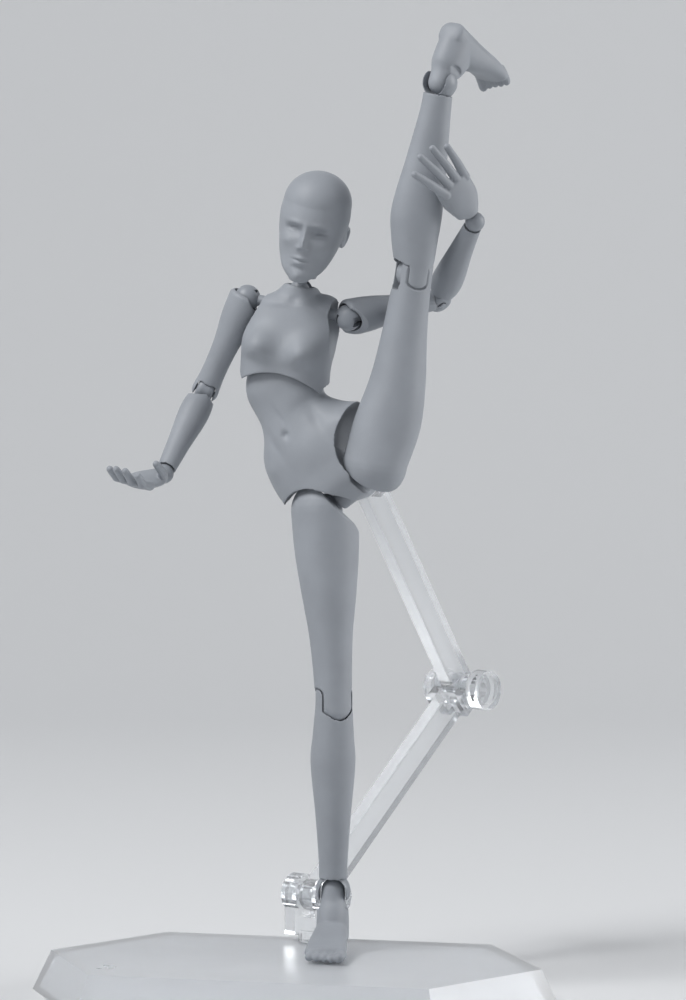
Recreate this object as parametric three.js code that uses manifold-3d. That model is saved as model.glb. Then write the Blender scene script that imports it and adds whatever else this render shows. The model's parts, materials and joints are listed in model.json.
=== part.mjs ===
// A jointed figure for drawing practice, held up by a clear hinged stand.
import * as THREE from "three";
import { mergeVertices } from "three/addons/utils/BufferGeometryUtils.js";
import Module from "manifold-3d";

const wasm = await Module();
wasm.setup();

// Driving dimensions in millimetres, measured from the photograph at 1/12 figure scale.
// Inside the figure +Z runs up the body, +Y out of its back and +X to its own left.
const GAP = 0.3; // air between two pieces that move on each other
const PIN_PLAY = 0.22; // air around a hinge pin in its hole
const BORE_PLAY = 0.2; // air around a post that turns in its bore

// Clear stand.
const BASE_LONG = 59;
const BASE_SLANT = 28;
const BASE_HEIGHT = 7;
const BASE_WALL = 2;
const BASE_FLARE = 3;
const BASE_TURN = -14;
const POST_PLACE = [3.8, 18.9];
const POST_RADIUS = 3.2;
const HINGE_HEIGHT = 8.4; // lower hinge above the top of the base
const HINGE_TURN = -40; // the three stand hinges lie across this direction
const HINGE_DISC_RADIUS = 3.5;
const HINGE_PIN_RADIUS = 1.4;
const HINGE_WIDTH = 12;
const LOWER_BAR = 52;
const UPPER_BAR = 50;
const BAR_WIDTH = 5;
const BAR_THICKNESS = 3;
const KNOB_RADIUS = 3.6;
const KNOB_DEPTH = 2.6;
const HEAD_RISE = 5; // back peg above the top hinge
const PEG_RADIUS = 1.5;
const PEG_REACH = 14; // from the stand head to the skin of the back
const PEG_DEPTH = 3.4;
const PEG_HEIGHT = 9; // back socket above the hip centres

// Torso and head.
const HIP_SPACING = 13.8;
const TORSO_HEIGHT = 21.5; // hip centres to the waist ball
const CHEST_HEIGHT = 17; // waist ball to neck ball
const SHOULDER_SPACING = 18.4;
const SHOULDER_HEIGHT = 13.9;
const NECK_LENGTH = 7.6;
const HEAD_HEIGHT = 18.8;
const HEAD_WIDTH = 12;
const HEAD_DEPTH = 14.2;

// Limbs, from joint centre to joint centre.
const UPPER_ARM = 18;
const FOREARM = 18.8;
const THIGH = 33;
const SHIN = 33;
const ANKLE_HEIGHT = 10.4;

// Joint balls.
const WAIST_BALL = 3.6;
const NECK_BALL = 2;
const SHOULDER_BALL = 2.3;
const HIP_BALL = 3;
const WRIST_BALL = 1.7;
const ANKLE_BALL = 2.4;

// Pose of the photograph in degrees: swing about X, spread about Y, turn about Z.
const POSE = {
  lowerBar: 50.5,
  upperBar: -84.5,
  standHead: 34,
  peg: 22,
  torsoRoll: -37,
  waistLean: 47,
  waistBow: 0,
  chestTurn: 3,
  head: [5, 3, 6],
  rightShoulder: [2.5, 16, 10.5],
  rightElbow: -44.5,
  rightForearm: -36,
  rightWrist: -40,
  rightHand: 10,
  leftShoulder: [111.5, -42.5, 159],
  leftElbow: -84,
  leftForearm: 35.5,
  leftWrist: -43.5,
  leftHand: 39.5,
  rightHip: [-4.5, 33, 40],
  rightKnee: 8.5,
  rightAnkle: -25.5,
  rightFoot: -3,
  leftHip: [-183.5, -44.5, 51],
  leftKnee: 0,
  leftAnkle: -35,
  leftFoot: -24.5,
};

const HAND_CURL = { right: [18, 34], left: [0, 8] }; // knuckle and finger bend in degrees

const AROUND = 16; // facets round a limb
const DOME_STEPS = 3;
const BALL_FACETS = 12;
const SMALL_BALL_FACETS = 8;
const SMALL = 2;
const ROD_FACETS = 12;

const rad = THREE.MathUtils.degToRad;

// Materials.
const GREY = new THREE.MeshStandardMaterial({ color: 0x9a9fa8, roughness: 0.6, metalness: 0 });
const JOINT_GREY = new THREE.MeshStandardMaterial({ color: 0x8b9099, roughness: 0.45, metalness: 0 });
const CLEAR = new THREE.MeshStandardMaterial({
  color: 0xe8eef2,
  roughness: 0.08,
  metalness: 0,
  transparent: true,
  opacity: 0.35,
});

// Solids.
function solid(geometry) {
  const bare = new THREE.BufferGeometry();
  bare.setAttribute("position", geometry.getAttribute("position"));
  bare.setIndex(geometry.getIndex());
  const merged = mergeVertices(bare, 1e-4);
  const vertProperties = new Float32Array(merged.getAttribute("position").array);
  const triVerts = new Uint32Array(merged.getIndex().array);
  return new wasm.Manifold(new wasm.Mesh({ numProp: 3, vertProperties, triVerts }));
}

function geometryOf(body) {
  const mesh = body.getMesh();
  const places = new Float32Array(mesh.numVert * 3);
  for (let i = 0; i < mesh.numVert; i++) {
    const start = i * mesh.numProp;
    places.set(mesh.vertProperties.subarray(start, start + 3), i * 3);
  }
  const geometry = new THREE.BufferGeometry();
  geometry.setAttribute("position", new THREE.BufferAttribute(places, 3));
  geometry.setIndex(new THREE.BufferAttribute(new Uint32Array(mesh.triVerts), 1));
  geometry.computeVertexNormals();
  return geometry;
}

function ball(radius, place = [0, 0, 0], stretch = [1, 1, 1]) {
  const facets = radius * Math.max(...stretch) < SMALL ? SMALL_BALL_FACETS : BALL_FACETS;
  const sphere = new THREE.SphereGeometry(radius, facets, Math.ceil(facets / 2));
  sphere.rotateX(Math.PI / 2);
  return solid(sphere.scale(...stretch).translate(...place));
}

const TURN_TO = {
  x: (g) => g.rotateZ(-Math.PI / 2),
  y: (g) => g,
  z: (g) => g.rotateX(Math.PI / 2),
};

function rod(axis, radius, length, place = [0, 0, 0], facets = ROD_FACETS) {
  const cylinder = new THREE.CylinderGeometry(radius, radius, length, facets);
  return solid(TURN_TO[axis](cylinder).translate(...place));
}

// Slice of a disc round an axis, between two angles measured from sideways or from the back.
function fan(axis, radius, from, to, thickness) {
  const shape = new THREE.Shape();
  shape.moveTo(0, 0);
  shape.lineTo(radius * Math.cos(rad(from)), radius * Math.sin(rad(from)));
  shape.absarc(0, 0, radius, rad(from), rad(to), false);
  shape.closePath();
  const settings = { depth: thickness, bevelEnabled: false, curveSegments: 10 };
  const slice = new THREE.ExtrudeGeometry(shape, settings).translate(0, 0, -thickness / 2);
  slice.rotateX(Math.PI / 2);
  return solid(axis === "x" ? slice.rotateZ(Math.PI / 2) : slice);
}

function block(size, place = [0, 0, 0]) {
  return solid(new THREE.BoxGeometry(...size).translate(...place));
}

// Everything beyond a plane that leans at 45 degrees over one shoulder of a limb.
function slopedCut(sideways, offset) {
  const size = 20;
  const box = new THREE.BoxGeometry(size, size, size).translate(0, 0, size / 2 + offset);
  return solid(box.rotateY((sideways * Math.PI) / 4));
}

// Smooth value through evenly spaced stations.
function smooth(values, s) {
  const last = values.length - 1;
  const i = Math.min(Math.floor(s * last), last - 1);
  const t = s * last - i;
  const [a, b, c, d] = [i - 1, i, i + 1, i + 2].map((k) => values[THREE.MathUtils.clamp(k, 0, last)]);
  return b + 0.5 * t * (c - a + t * (2 * a - 5 * b + 4 * c - d + t * (3 * (b - c) + d - a)));
}

// A rounded form through cross-sections stacked along Z. Each station is
// [height, half width, front depth, back depth, sideways shift, forward shift].
function loft(stations, { steps = 10, top = 0, bottom = 0, boxy = 2, around = AROUND, domeSteps = DOME_STEPS } = {}) {
  const column = (k) => stations.map((row) => row[k] ?? 0);
  const columns = [0, 1, 2, 3, 4, 5].map(column);
  const rings = [];
  const ringAt = (s, rise, scale) => {
    const [z, wide, front, back, shiftX, shiftY] = columns.map((values) => smooth(values, s));
    const ring = [];
    for (let i = 0; i < around; i++) {
      const angle = (2 * Math.PI * i) / around;
      const c = Math.cos(angle);
      const n = Math.sin(angle);
      const x = Math.sign(c) * Math.abs(c) ** (2 / boxy) * wide * scale;
      const y = Math.sign(n) * Math.abs(n) ** (2 / boxy) * (n < 0 ? front : back) * scale;
      ring.push([x + shiftX, y - shiftY, z + rise]);
    }
    rings.push(ring);
  };
  for (let k = 1; k < domeSteps && bottom; k++) {
    const a = (Math.PI / 2) * (1 - k / domeSteps);
    ringAt(0, -bottom * Math.sin(a), Math.cos(a));
  }
  for (let k = 0; k <= steps; k++) ringAt(k / steps, 0, 1);
  for (let k = 1; k < domeSteps && top; k++) {
    const a = (Math.PI / 2) * (k / domeSteps);
    ringAt(1, top * Math.sin(a), Math.cos(a));
  }
  const places = rings.flat(2);
  const middle = (s, rise) => [smooth(columns[4], s), -smooth(columns[5], s), smooth(columns[0], s) + rise];
  const lowPole = rings.length * around;
  places.push(...middle(0, -bottom), ...middle(1, top));
  const faces = [];
  for (let i = 0; i < around; i++) {
    const j = (i + 1) % around;
    faces.push(lowPole, j, i);
    for (let r = 0; r < rings.length - 1; r++) {
      const low = r * around;
      const high = low + around;
      faces.push(low + i, low + j, high + j, low + i, high + j, high + i);
    }
    const rim = (rings.length - 1) * around;
    faces.push(lowPole + 1, rim + i, rim + j);
  }
  const geometry = new THREE.BufferGeometry();
  geometry.setAttribute("position", new THREE.BufferAttribute(new Float32Array(places), 3));
  geometry.setIndex(faces);
  return geometry;
}

function capsule(radius, from, to, endRadius = radius) {
  const a = new THREE.Vector3(...from);
  const b = new THREE.Vector3(...to);
  const length = a.distanceTo(b);
  const rows = [
    [0, radius, radius, radius],
    [length, endRadius, endRadius, endRadius],
  ];
  const form = loft(rows, { steps: 1, top: endRadius, bottom: radius, around: 6, domeSteps: 2 });
  const turn = new THREE.Quaternion().setFromUnitVectors(
    new THREE.Vector3(0, 0, 1),
    b.clone().sub(a).normalize(),
  );
  return solid(form.applyQuaternion(turn).translate(...from));
}

function joined(bodies) {
  return bodies.reduce((sum, next) => sum.add(next));
}

function without(body, cuts) {
  return cuts.reduce((left, cut) => left.subtract(cut), body);
}

function piece(name, body, material, group) {
  const mesh = new THREE.Mesh(geometryOf(body), material);
  mesh.name = name;
  group.add(mesh);
  return mesh;
}

function inPlace(parent, place) {
  const group = new THREE.Group();
  group.position.set(...place);
  parent.add(group);
  return group;
}

// A group that turns about one of its own axes; everything inside it moves with it.
function jointed(parent, name, place, axis, angle) {
  const group = new THREE.Group();
  group.name = name;
  group.userData.axis = axis;
  group.position.set(...place);
  group.rotation[axis] = rad(angle);
  parent.add(group);
  return group;
}

// Ball half of a three-way joint. Its peg turns about X in the body that carries it, and a
// pin across its slot takes the link. Shares are of the ball radius.
const PEG_SHARE = 0.42;
const PIN_SHARE = 0.24;
const SLOT_SHARE = 0.38;
const EYE_SHARE = 0.62;

function jointBall(radius, pegSide = 0, pegLength = 0) {
  const top = EYE_SHARE * radius + GAP;
  const reach = pegSide ? top : 2 * radius;
  const slotWidth = 2 * radius + reach;
  const slotMiddle = pegSide * (reach - slotWidth / 2);
  const slot = block([slotWidth, 2 * SLOT_SHARE * radius, 3 * radius], [slotMiddle, 0, top - 1.5 * radius]);
  const parts = [ball(radius).subtract(slot), rod("y", PIN_SHARE * radius, 1.4 * radius)];
  if (pegSide) {
    const middle = pegSide * (0.85 * radius + pegLength / 2);
    parts.push(rod("x", PEG_SHARE * radius, pegLength, [middle, 0, 0]));
  }
  return joined(parts);
}

// Link half: a flat eye on the ball's pin, and a round post that the next piece turns on.
function linkEye(radius, z = 0) {
  const thickness = 2 * (SLOT_SHARE * radius - PIN_PLAY);
  const neck = block([1.1 * EYE_SHARE * radius, thickness, 1.3 * radius], [0, 0, z - 0.65 * radius]);
  return joined([rod("y", EYE_SHARE * radius, thickness, [0, 0, z]), neck]);
}

function pinHole(radius, z = 0) {
  return rod("y", PIN_SHARE * radius + PIN_PLAY, 2 * radius, [0, 0, z]);
}

function jointLink(radius, postRadius, length) {
  const post = rod("z", postRadius, length - radius, [0, 0, -(radius + length) / 2]);
  return joined([linkEye(radius), post]).subtract(pinHole(radius));
}

function postBore(postRadius, from, to) {
  return rod("z", postRadius + BORE_PLAY, from - to, [0, 0, (from + to) / 2]);
}

// Root of a limb: room for the ball, a sloped cut on the body's side, and the bore of the post.
function rootCuts(ballRadius, postRadius, postEnd, inward, slope) {
  return [
    ball(ballRadius + GAP),
    slopedCut(inward, slope),
    postBore(postRadius, 0, -postEnd - GAP),
  ];
}

// Clear stand, built up from the base.
function hexagon(grow, z) {
  const half = BASE_LONG / 2 + grow * Math.tan(Math.PI / 6);
  const slant = BASE_SLANT + grow * 2 * Math.tan(Math.PI / 6);
  const depth = slant * Math.sin(Math.PI / 3);
  const tip = half + slant / 2;
  return [
    [tip, 0, z],
    [half, depth, z],
    [-half, depth, z],
    [-tip, 0, z],
    [-half, -depth, z],
    [half, -depth, z],
  ];
}

function frustum(low, high) {
  const corners = [...low, ...high].flat();
  const count = low.length;
  const faces = [];
  for (let i = 0; i < count; i++) {
    const j = (i + 1) % count;
    faces.push(i, j, count + j, i, count + j, count + i);
    if (i > 0 && j > 0) faces.push(0, j, i, count, count + i, count + j);
  }
  const geometry = new THREE.BufferGeometry();
  geometry.setAttribute("position", new THREE.BufferAttribute(new Float32Array(corners), 3));
  geometry.setIndex(faces);
  return solid(geometry);
}

function standBase(group) {
  const outer = frustum(hexagon(BASE_FLARE, 0), hexagon(0, BASE_HEIGHT));
  const inside = BASE_HEIGHT - BASE_WALL;
  const inner = frustum(hexagon(BASE_FLARE - BASE_WALL, -1), hexagon(-BASE_WALL, inside));
  const hub = rod("z", POST_RADIUS, BASE_HEIGHT - 1, [0, 0, 0.5 * BASE_HEIGHT + 0.5]);
  const spot = new THREE.Vector3(...POST_PLACE, 0).applyAxisAngle(new THREE.Vector3(0, 0, 1), rad(-BASE_TURN));
  const hole = rod("z", PEG_RADIUS + BORE_PLAY, 2 * BASE_HEIGHT);
  const body = joined([outer.subtract(inner), hub.translate(spot.x, spot.y, 0)]);
  piece("base", body.subtract(hole.translate(spot.x, spot.y, 0)), CLEAR, group);
}

const CHEEK = 2; // thickness of a fork cheek
const EYE_HALF = BAR_THICKNESS / 2;
const CHEEK_IN = EYE_HALF + GAP;
const CHEEK_OUT = CHEEK_IN + CHEEK;

// Two cheeks round the X axis and the bridge that joins them at z = reach.
function fork(radius, out, reach) {
  const cheeks = rod("x", radius, 2 * out);
  const web = block([2 * out, 1.4 * radius, Math.abs(reach)], [0, 0, reach / 2]);
  const room = block([2 * CHEEK_IN, 4 * radius, 2 * (radius + GAP)]);
  return joined([cheeks, web]).subtract(room);
}

function standPost(group) {
  const half = HINGE_WIDTH / 2 - 0.8;
  const reach = HINGE_HEIGHT - GAP;
  const body = joined([
    fork(HINGE_DISC_RADIUS, half, -reach + 1),
    rod("z", POST_RADIUS, 2, [0, 0, -reach + 1], 20),
    rod("z", PEG_RADIUS, BASE_HEIGHT, [0, 0, -HINGE_HEIGHT - BASE_HEIGHT / 2 + 1]),
  ]);
  piece("stand_post", body.subtract(pinBore(2 * HINGE_WIDTH)), CLEAR, group);
  piece("lower_pin", hingePin(half, half), CLEAR, group);
}

function pinBore(length) {
  return rod("x", HINGE_PIN_RADIUS + PIN_PLAY, length);
}

function hingePin(left, right) {
  const length = left + right + 2 * GAP;
  const head = 0.8;
  return joined([
    rod("x", HINGE_PIN_RADIUS, length + head, [(right - left) / 2, 0, 0]),
    rod("x", 2.2, head, [right + GAP + head / 2, 0, 0]),
    rod("x", 2.2, head, [-left - GAP - head / 2, 0, 0]),
  ]);
}

// A flat bar: one eye at the bottom, a fork at the top.
function standBar(name, length, group) {
  const eye = BAR_WIDTH / 2 + 0.4;
  const top = fork(eye, CHEEK_OUT, -eye - 2).translate(0, 0, length);
  const body = joined([
    rod("x", eye, BAR_THICKNESS, [0, 0, 0], 20),
    block([BAR_THICKNESS, BAR_WIDTH, length - eye - 1], [0, 0, (length - eye - 1) / 2]),
    top,
  ]);
  const bores = [pinBore(BAR_THICKNESS * 2), pinBore(BAR_WIDTH * 4).translate(0, 0, length)];
  piece(name, without(body, bores), CLEAR, group);
}

function middleKnob(group) {
  const face = CHEEK_OUT + GAP;
  const disc = rod("x", KNOB_RADIUS, KNOB_DEPTH, [face + KNOB_DEPTH / 2, 0, 0], 20);
  const dish = rod("x", KNOB_RADIUS - 1, 1, [face + KNOB_DEPTH, 0, 0], 20);
  const shaft = rod("x", HINGE_PIN_RADIUS, 2 * face + 2, [0, 0, 0]);
  piece("middle_knob", joined([disc.subtract(dish), shaft]), CLEAR, group);
  const nut = rod("x", KNOB_RADIUS - 0.4, 1.8, [-face - 0.9, 0, 0], 20);
  piece("middle_nut", nut.subtract(rod("x", HINGE_PIN_RADIUS + 0.05, 20)), CLEAR, group);
}

const HEAD_POST = 1.1;
const BARREL_RADIUS = 2.4;
const BARREL_HEIGHT = 3.6;

function standHead(group) {
  const eye = BAR_WIDTH / 2;
  const top = HEAD_RISE + BARREL_HEIGHT / 2 + 0.6;
  const body = joined([
    rod("x", eye, BAR_THICKNESS, [0, 0, 0], 20),
    rod("z", HEAD_POST, top, [0, 0, top / 2]),
  ]);
  piece("stand_head", body.subtract(pinBore(10)), CLEAR, group);
}

function backPeg(group) {
  const reach = PEG_REACH + PEG_DEPTH;
  const barrel = rod("z", BARREL_RADIUS, BARREL_HEIGHT, [0, 0, 0], 20);
  const bar = rod("y", PEG_RADIUS, reach, [0, -reach / 2, 0]);
  const collar = rod("y", PEG_RADIUS + 1, 1.4, [0, -PEG_REACH + 2, 0], 20);
  const bore = rod("z", HEAD_POST + BORE_PLAY, 3 * BARREL_HEIGHT);
  piece("back_peg", joined([barrel, bar, collar]).subtract(bore), CLEAR, group);
}

// Torso and head.
const BACK_DEPTH = 5.6; // skin of the back behind the hip centres at the peg
const THIGH_ROOM = [7.3, 7.6, 7.5]; // half sizes of the room for a hanging thigh
const THIGH_ROOM_BACK = 0.9; // the room reaches further out at the back
const RAISED_WELL = 8; // radius of the round opening in front of a raised thigh
const RAISED_WELL_PLACE = [8.3, -1, 3.6];
const RAISED_SPREAD = 45; // a thigh raised beside the body leans out by this many degrees
const RAISED_ROOM = 7.7; // and passes the torso at this distance from the hip centre
const RAISED_TAPER = 6; // degrees by which the raised thigh narrows
const CROTCH_WEB = 2.8; // thickness of the wall between the two rooms
const HIP_PEG = 3.2;
const HIP_WEB = 0.7; // half the wall between the two hip bores
const BOSS_RADIUS = 1.9;
const WAIST_DOME = [6.9, 4.8, 6.9]; // half sizes of the rounded top that the chest rides on
const BOW_ROOM = 1.1; // air in front of and behind the waist post
const LEAN_REACH = 72; // degrees the slot in the dome opens to each side

// Room for a raised thigh at any swing: a cone that opens outwards round the X axis.
function raisedRoom(side) {
  const slope = Math.tan(rad(90 - RAISED_SPREAD - RAISED_TAPER));
  const near = RAISED_ROOM * Math.cos(rad(RAISED_SPREAD));
  const nearRadius = RAISED_ROOM * Math.sin(rad(RAISED_SPREAD));
  const reach = 20;
  const profile = [
    new THREE.Vector2(0, -near),
    new THREE.Vector2(nearRadius, -near),
    new THREE.Vector2(nearRadius + reach * slope, reach - near),
    new THREE.Vector2(0, reach - near),
  ];
  return solid(new THREE.LatheGeometry(profile, 20).rotateZ((-side * Math.PI) / 2));
}

// Slot across the dome for the waist post as it leans to either side.
function waistSlot() {
  return fan("y", WAIST_DOME[0] + 1, 90 - LEAN_REACH, 90 + LEAN_REACH, 2 * (WAIST_POST + BOW_ROOM));
}

function lowerTorso(group) {
  const stations = [
    [-1.8, 4.4, 3.4, 4.4],
    [1.5, 12, 5.9, 7.2],
    [6, 13, 6, 7],
    [10, 11.9, 5.7, 5.7, -0.7],
    [13.2, 9.5, 5.2, 4.8, -2.2],
    [16.2, 6.9, 4.8, 4.5, -2],
    [18.6, 6.7, 4.8, 4.5, -0.9],
    [TORSO_HEIGHT, 6.8, 4.8, 4.6, -0.1],
  ];
  const form = solid(loft(stations, { steps: 11, bottom: 0.6, around: 18 }));
  const shell = form.add(ball(1, [0, 0, TORSO_HEIGHT], WAIST_DOME));
  const cuts = [ball(WAIST_BALL + GAP, [0, 0, TORSO_HEIGHT]), waistSlot().translate(0, 0, TORSO_HEIGHT)];
  const bosses = [];
  const bores = [];
  for (const side of [-1, 1]) {
    const hip = (side * HIP_SPACING) / 2;
    const end = HIP_SPACING / 2 - HIP_BALL - GAP;
    if (side < 0) cuts.push(ball(1, [hip, THIGH_ROOM_BACK, 0], THIGH_ROOM));
    else cuts.push(raisedRoom(side).translate(hip, 0, 0), ball(RAISED_WELL, RAISED_WELL_PLACE));
    bosses.push(rod("x", BOSS_RADIUS, end, [(side * end) / 2, 0, 0]));
    const deep = end - HIP_WEB;
    const middle = side * (HIP_WEB + deep / 2);
    bores.push(rod("x", PEG_SHARE * HIP_BALL + BORE_PLAY, deep, [middle, 0, 0]));
  }
  const socket = rod("y", PEG_RADIUS + BORE_PLAY, 12, [0, 6 + BACK_DEPTH - PEG_DEPTH, PEG_HEIGHT]);
  const web = shell.intersect(block([CROTCH_WEB, 30, 2 * HIP_SPACING]));
  const body = joined([without(shell, cuts), web, ...bosses]);
  piece("lower_torso", without(body, [...bores, socket]), GREY, group);
}

const WAIST_POST = 1.1;
const WAIST_POST_END = 11;

function waistBall(group) {
  const body = jointBall(WAIST_BALL).rotate([180, 0, 90]);
  piece("waist_ball", body, JOINT_GREY, group);
}

function waistPost(group) {
  const body = jointLink(WAIST_BALL, WAIST_POST, WAIST_POST_END).rotate([180, 0, 90]);
  piece("waist_post", body, JOINT_GREY, group);
}

const SHOULDER_PEG = 4;
const BUST_PLACE = [4.7, -2.1, 7.3];
const BUST = [4.9, 4.4, 4.3]; // half sizes
const CHEST_CAVITY = [7.4, 5.4, 7.4];
const CHEST_RIM = -0.6;
const RIM_ARCH = 11.8; // radius of the arch along the front and back of the rim
const RIM_RISE = 2.6; // top of the arch above the waist ball
const CREST_PLACE = 7.4;
const CREST_ROOM = [2, 4.6, 2.6]; // half sizes of the room for the hip crest when the waist leans

function chest(group) {
  const stations = [
    [CHEST_RIM, 8.1, 5.9, 5.7],
    [4.5, 8.6, 6, 5.8],
    [8.5, 8.9, 5, 5.5],
    [12, 8.5, 4.3, 5.2],
    [14.4, 7, 3.6, 4.6],
    [16, 4.4, 2.9, 3.6],
    [CHEST_HEIGHT + 0.8, 2.9, 2.6, 2.9],
  ];
  const parts = [solid(loft(stations, { steps: 9, around: 18 }))];
  for (const side of [-1, 1]) {
    const [x, y, z] = BUST_PLACE;
    parts.push(ball(1, [side * x, y, z], BUST));
  }
  const cuts = [
    ball(1, [0, 0, 0], CHEST_CAVITY),
    rod("y", RIM_ARCH, 30, [0, 0, RIM_RISE - RIM_ARCH], 40),
    postBore(WAIST_POST, WAIST_POST_END + GAP, 0),
    ball(NECK_BALL + GAP, [0, 0, CHEST_HEIGHT]),
  ];
  for (const side of [-1, 1]) {
    const x = (side * SHOULDER_SPACING) / 2;
    cuts.push(ball(1, [side * CREST_PLACE, 0, CHEST_RIM], CREST_ROOM));
    const centre = [x, 0, SHOULDER_HEIGHT];
    const hanging = [x + side * 2.8, -1, SHOULDER_HEIGHT - 12];
    cuts.push(capsule(ARM_ROOT + 2 * GAP, centre, hanging, ARM_ROOT - 0.1));
    const inner = x - side * (SHOULDER_BALL + SHOULDER_PEG / 2);
    const peg = PEG_SHARE * SHOULDER_BALL + BORE_PLAY;
    cuts.push(rod("x", peg, SHOULDER_PEG + 1, [inner, 0, SHOULDER_HEIGHT]));
  }
  piece("chest", without(joined(parts), cuts), GREY, group);
}

const NECK_RADIUS = 2.5;

function neckBall(group) {
  piece("neck_ball", jointBall(NECK_BALL).rotate([180, 0, 0]), JOINT_GREY, group);
}

function neckPost(group) {
  const collar = solid(
    loft([
      [2.5, 2.2, 2.2, 2.2],
      [4, NECK_RADIUS, NECK_RADIUS, NECK_RADIUS],
      [NECK_LENGTH - 1.4, NECK_RADIUS, NECK_RADIUS, NECK_RADIUS],
    ], { steps: 4 }),
  );
  const eye = linkEye(NECK_BALL).rotate([180, 0, 0]);
  const post = rod("z", 1.2, NECK_LENGTH + 1, [0, 0, (NECK_LENGTH + 1) / 2 + 2.2]);
  piece("neck_post", joined([eye, collar, post]).subtract(pinHole(NECK_BALL)), JOINT_GREY, group);
}

function head(group) {
  const chin = -5.4;
  const crown = HEAD_HEIGHT + chin;
  const wide = HEAD_WIDTH / 2;
  const deep = HEAD_DEPTH / 2;
  const stations = [
    [chin + 0.6, 1.7, 1.7, 1.8, 0, 5.3],
    [-3.2, 3.5, 3.5, 3.4, 0, 3.7],
    [-0.6, 4.7, 5.2, 5, 0, 2.1],
    [2.6, 5.5, 6.6, 6.4, 0, 0.7],
    [5.6, wide, deep, deep, 0, 0.2],
  ];
  const parts = [solid(loft(stations, { steps: 8, top: crown - 5.6, bottom: 0.6, around: 16, domeSteps: 6 }))];
  parts.push(capsule(0.5, [0, -6.9, 3.6], [0, -7.9, 0.9], 0.7));
  parts.push(ball(1, [0, -6.7, -1.5], [1.5, 0.8, 0.7]));
  for (const side of [-1, 1]) {
    parts.push(ball(1, [side * 5.6, 0.6, 2.4], [0.7, 1.3, 2.1]));
  }
  const cuts = [
    rod("z", NECK_RADIUS + GAP, 8, [0, 0, -1.4 - 4 + GAP + 0.1]),
    postBore(1.2, 3.4, -2),
    ball(1, [-2.4, -7.7, 3.6], [1.7, 1.1, 1]),
    ball(1, [2.4, -7.7, 3.6], [1.7, 1.1, 1]),
  ];
  piece("head", without(joined(parts), cuts), GREY, group);
}

// Arms. side is -1 for the figure's right arm and 1 for its left.
const ARM_ROOT = 3.2;
const ARM_POST = 0.85;
const ARM_POST_END = 8;
const ELBOW_RADIUS = 2.1;
const ELBOW_PIN = 0.5;
const ELBOW_EYE = 0.8; // half thickness of the tongue
const FOREARM_POST = 0.75;
const FOREARM_POST_END = 7;

function upperArm(name, side, group) {
  const stations = [
    [-UPPER_ARM, 1.9, 1.9, 1.9],
    [-UPPER_ARM + 4, 1.9, 2, 2],
    [-9, 2.3, 2.6, 2.5],
    [-4, 3, 3.1, 3.1],
    [0, ARM_ROOT, ARM_ROOT, ARM_ROOT],
  ];
  const shell = solid(loft(stations, { steps: 6, top: 1.1, bottom: ELBOW_RADIUS, around: 14 }));
  const slot = block([2 * (ELBOW_EYE + GAP), 12, 2 * (ELBOW_RADIUS + GAP)], [0, 0, -UPPER_ARM]);
  const cuts = [...rootCuts(SHOULDER_BALL, ARM_POST, ARM_POST_END, -side, 0.6), slot];
  const pin = rod("x", ELBOW_PIN, 3, [0, 0, -UPPER_ARM]);
  piece(name, without(shell, cuts).add(pin), GREY, group);
}

function elbowJoint(name, group) {
  const eye = rod("x", ELBOW_RADIUS - GAP, 2 * ELBOW_EYE);
  const post = rod("z", FOREARM_POST, FOREARM_POST_END - 1, [0, 0, -(FOREARM_POST_END + 1) / 2]);
  const body = joined([eye, post]).subtract(rod("x", ELBOW_PIN + PIN_PLAY, 8));
  piece(name, body, JOINT_GREY, group);
}

function forearm(name, group) {
  const stations = [
    [-FOREARM + 0.4, 1.5, 1.5, 1.5],
    [-12, 2, 2.1, 2],
    [-7, 2.6, 2.7, 2.6],
    [-4, 2.8, 2.8, 2.8],
    [-2.2, 2.4, 2.4, 2.4],
  ];
  const shell = solid(loft(stations, { steps: 6, top: 0.8, around: 14 }));
  const cuts = [
    rod("x", ELBOW_RADIUS + GAP, 12, [0, 0, 0], 20),
    postBore(FOREARM_POST, 0, -FOREARM_POST_END - GAP),
    ball(WRIST_BALL + GAP, [0, 0, -FOREARM]),
  ];
  piece(name, without(shell, cuts), GREY, group);
}

const HAND_PEG = 0.6;

function wristBall(name, group) {
  const bore = rod("z", HAND_PEG + BORE_PLAY, 3, [0, 0, -1.2]);
  piece(name, ball(WRIST_BALL).subtract(bore), JOINT_GREY, group);
}

const PALM_LENGTH = 8.8;
const FINGER_LENGTHS = [7.2, 8.4, 7.8, 6.2];
const FINGER_RADIUS = 0.85;
const FINGER_PITCH = 1.62;
const THUMB_FORWARD = [-0.9, -1.2]; // thumb joint and tip in front of the palm

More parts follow.
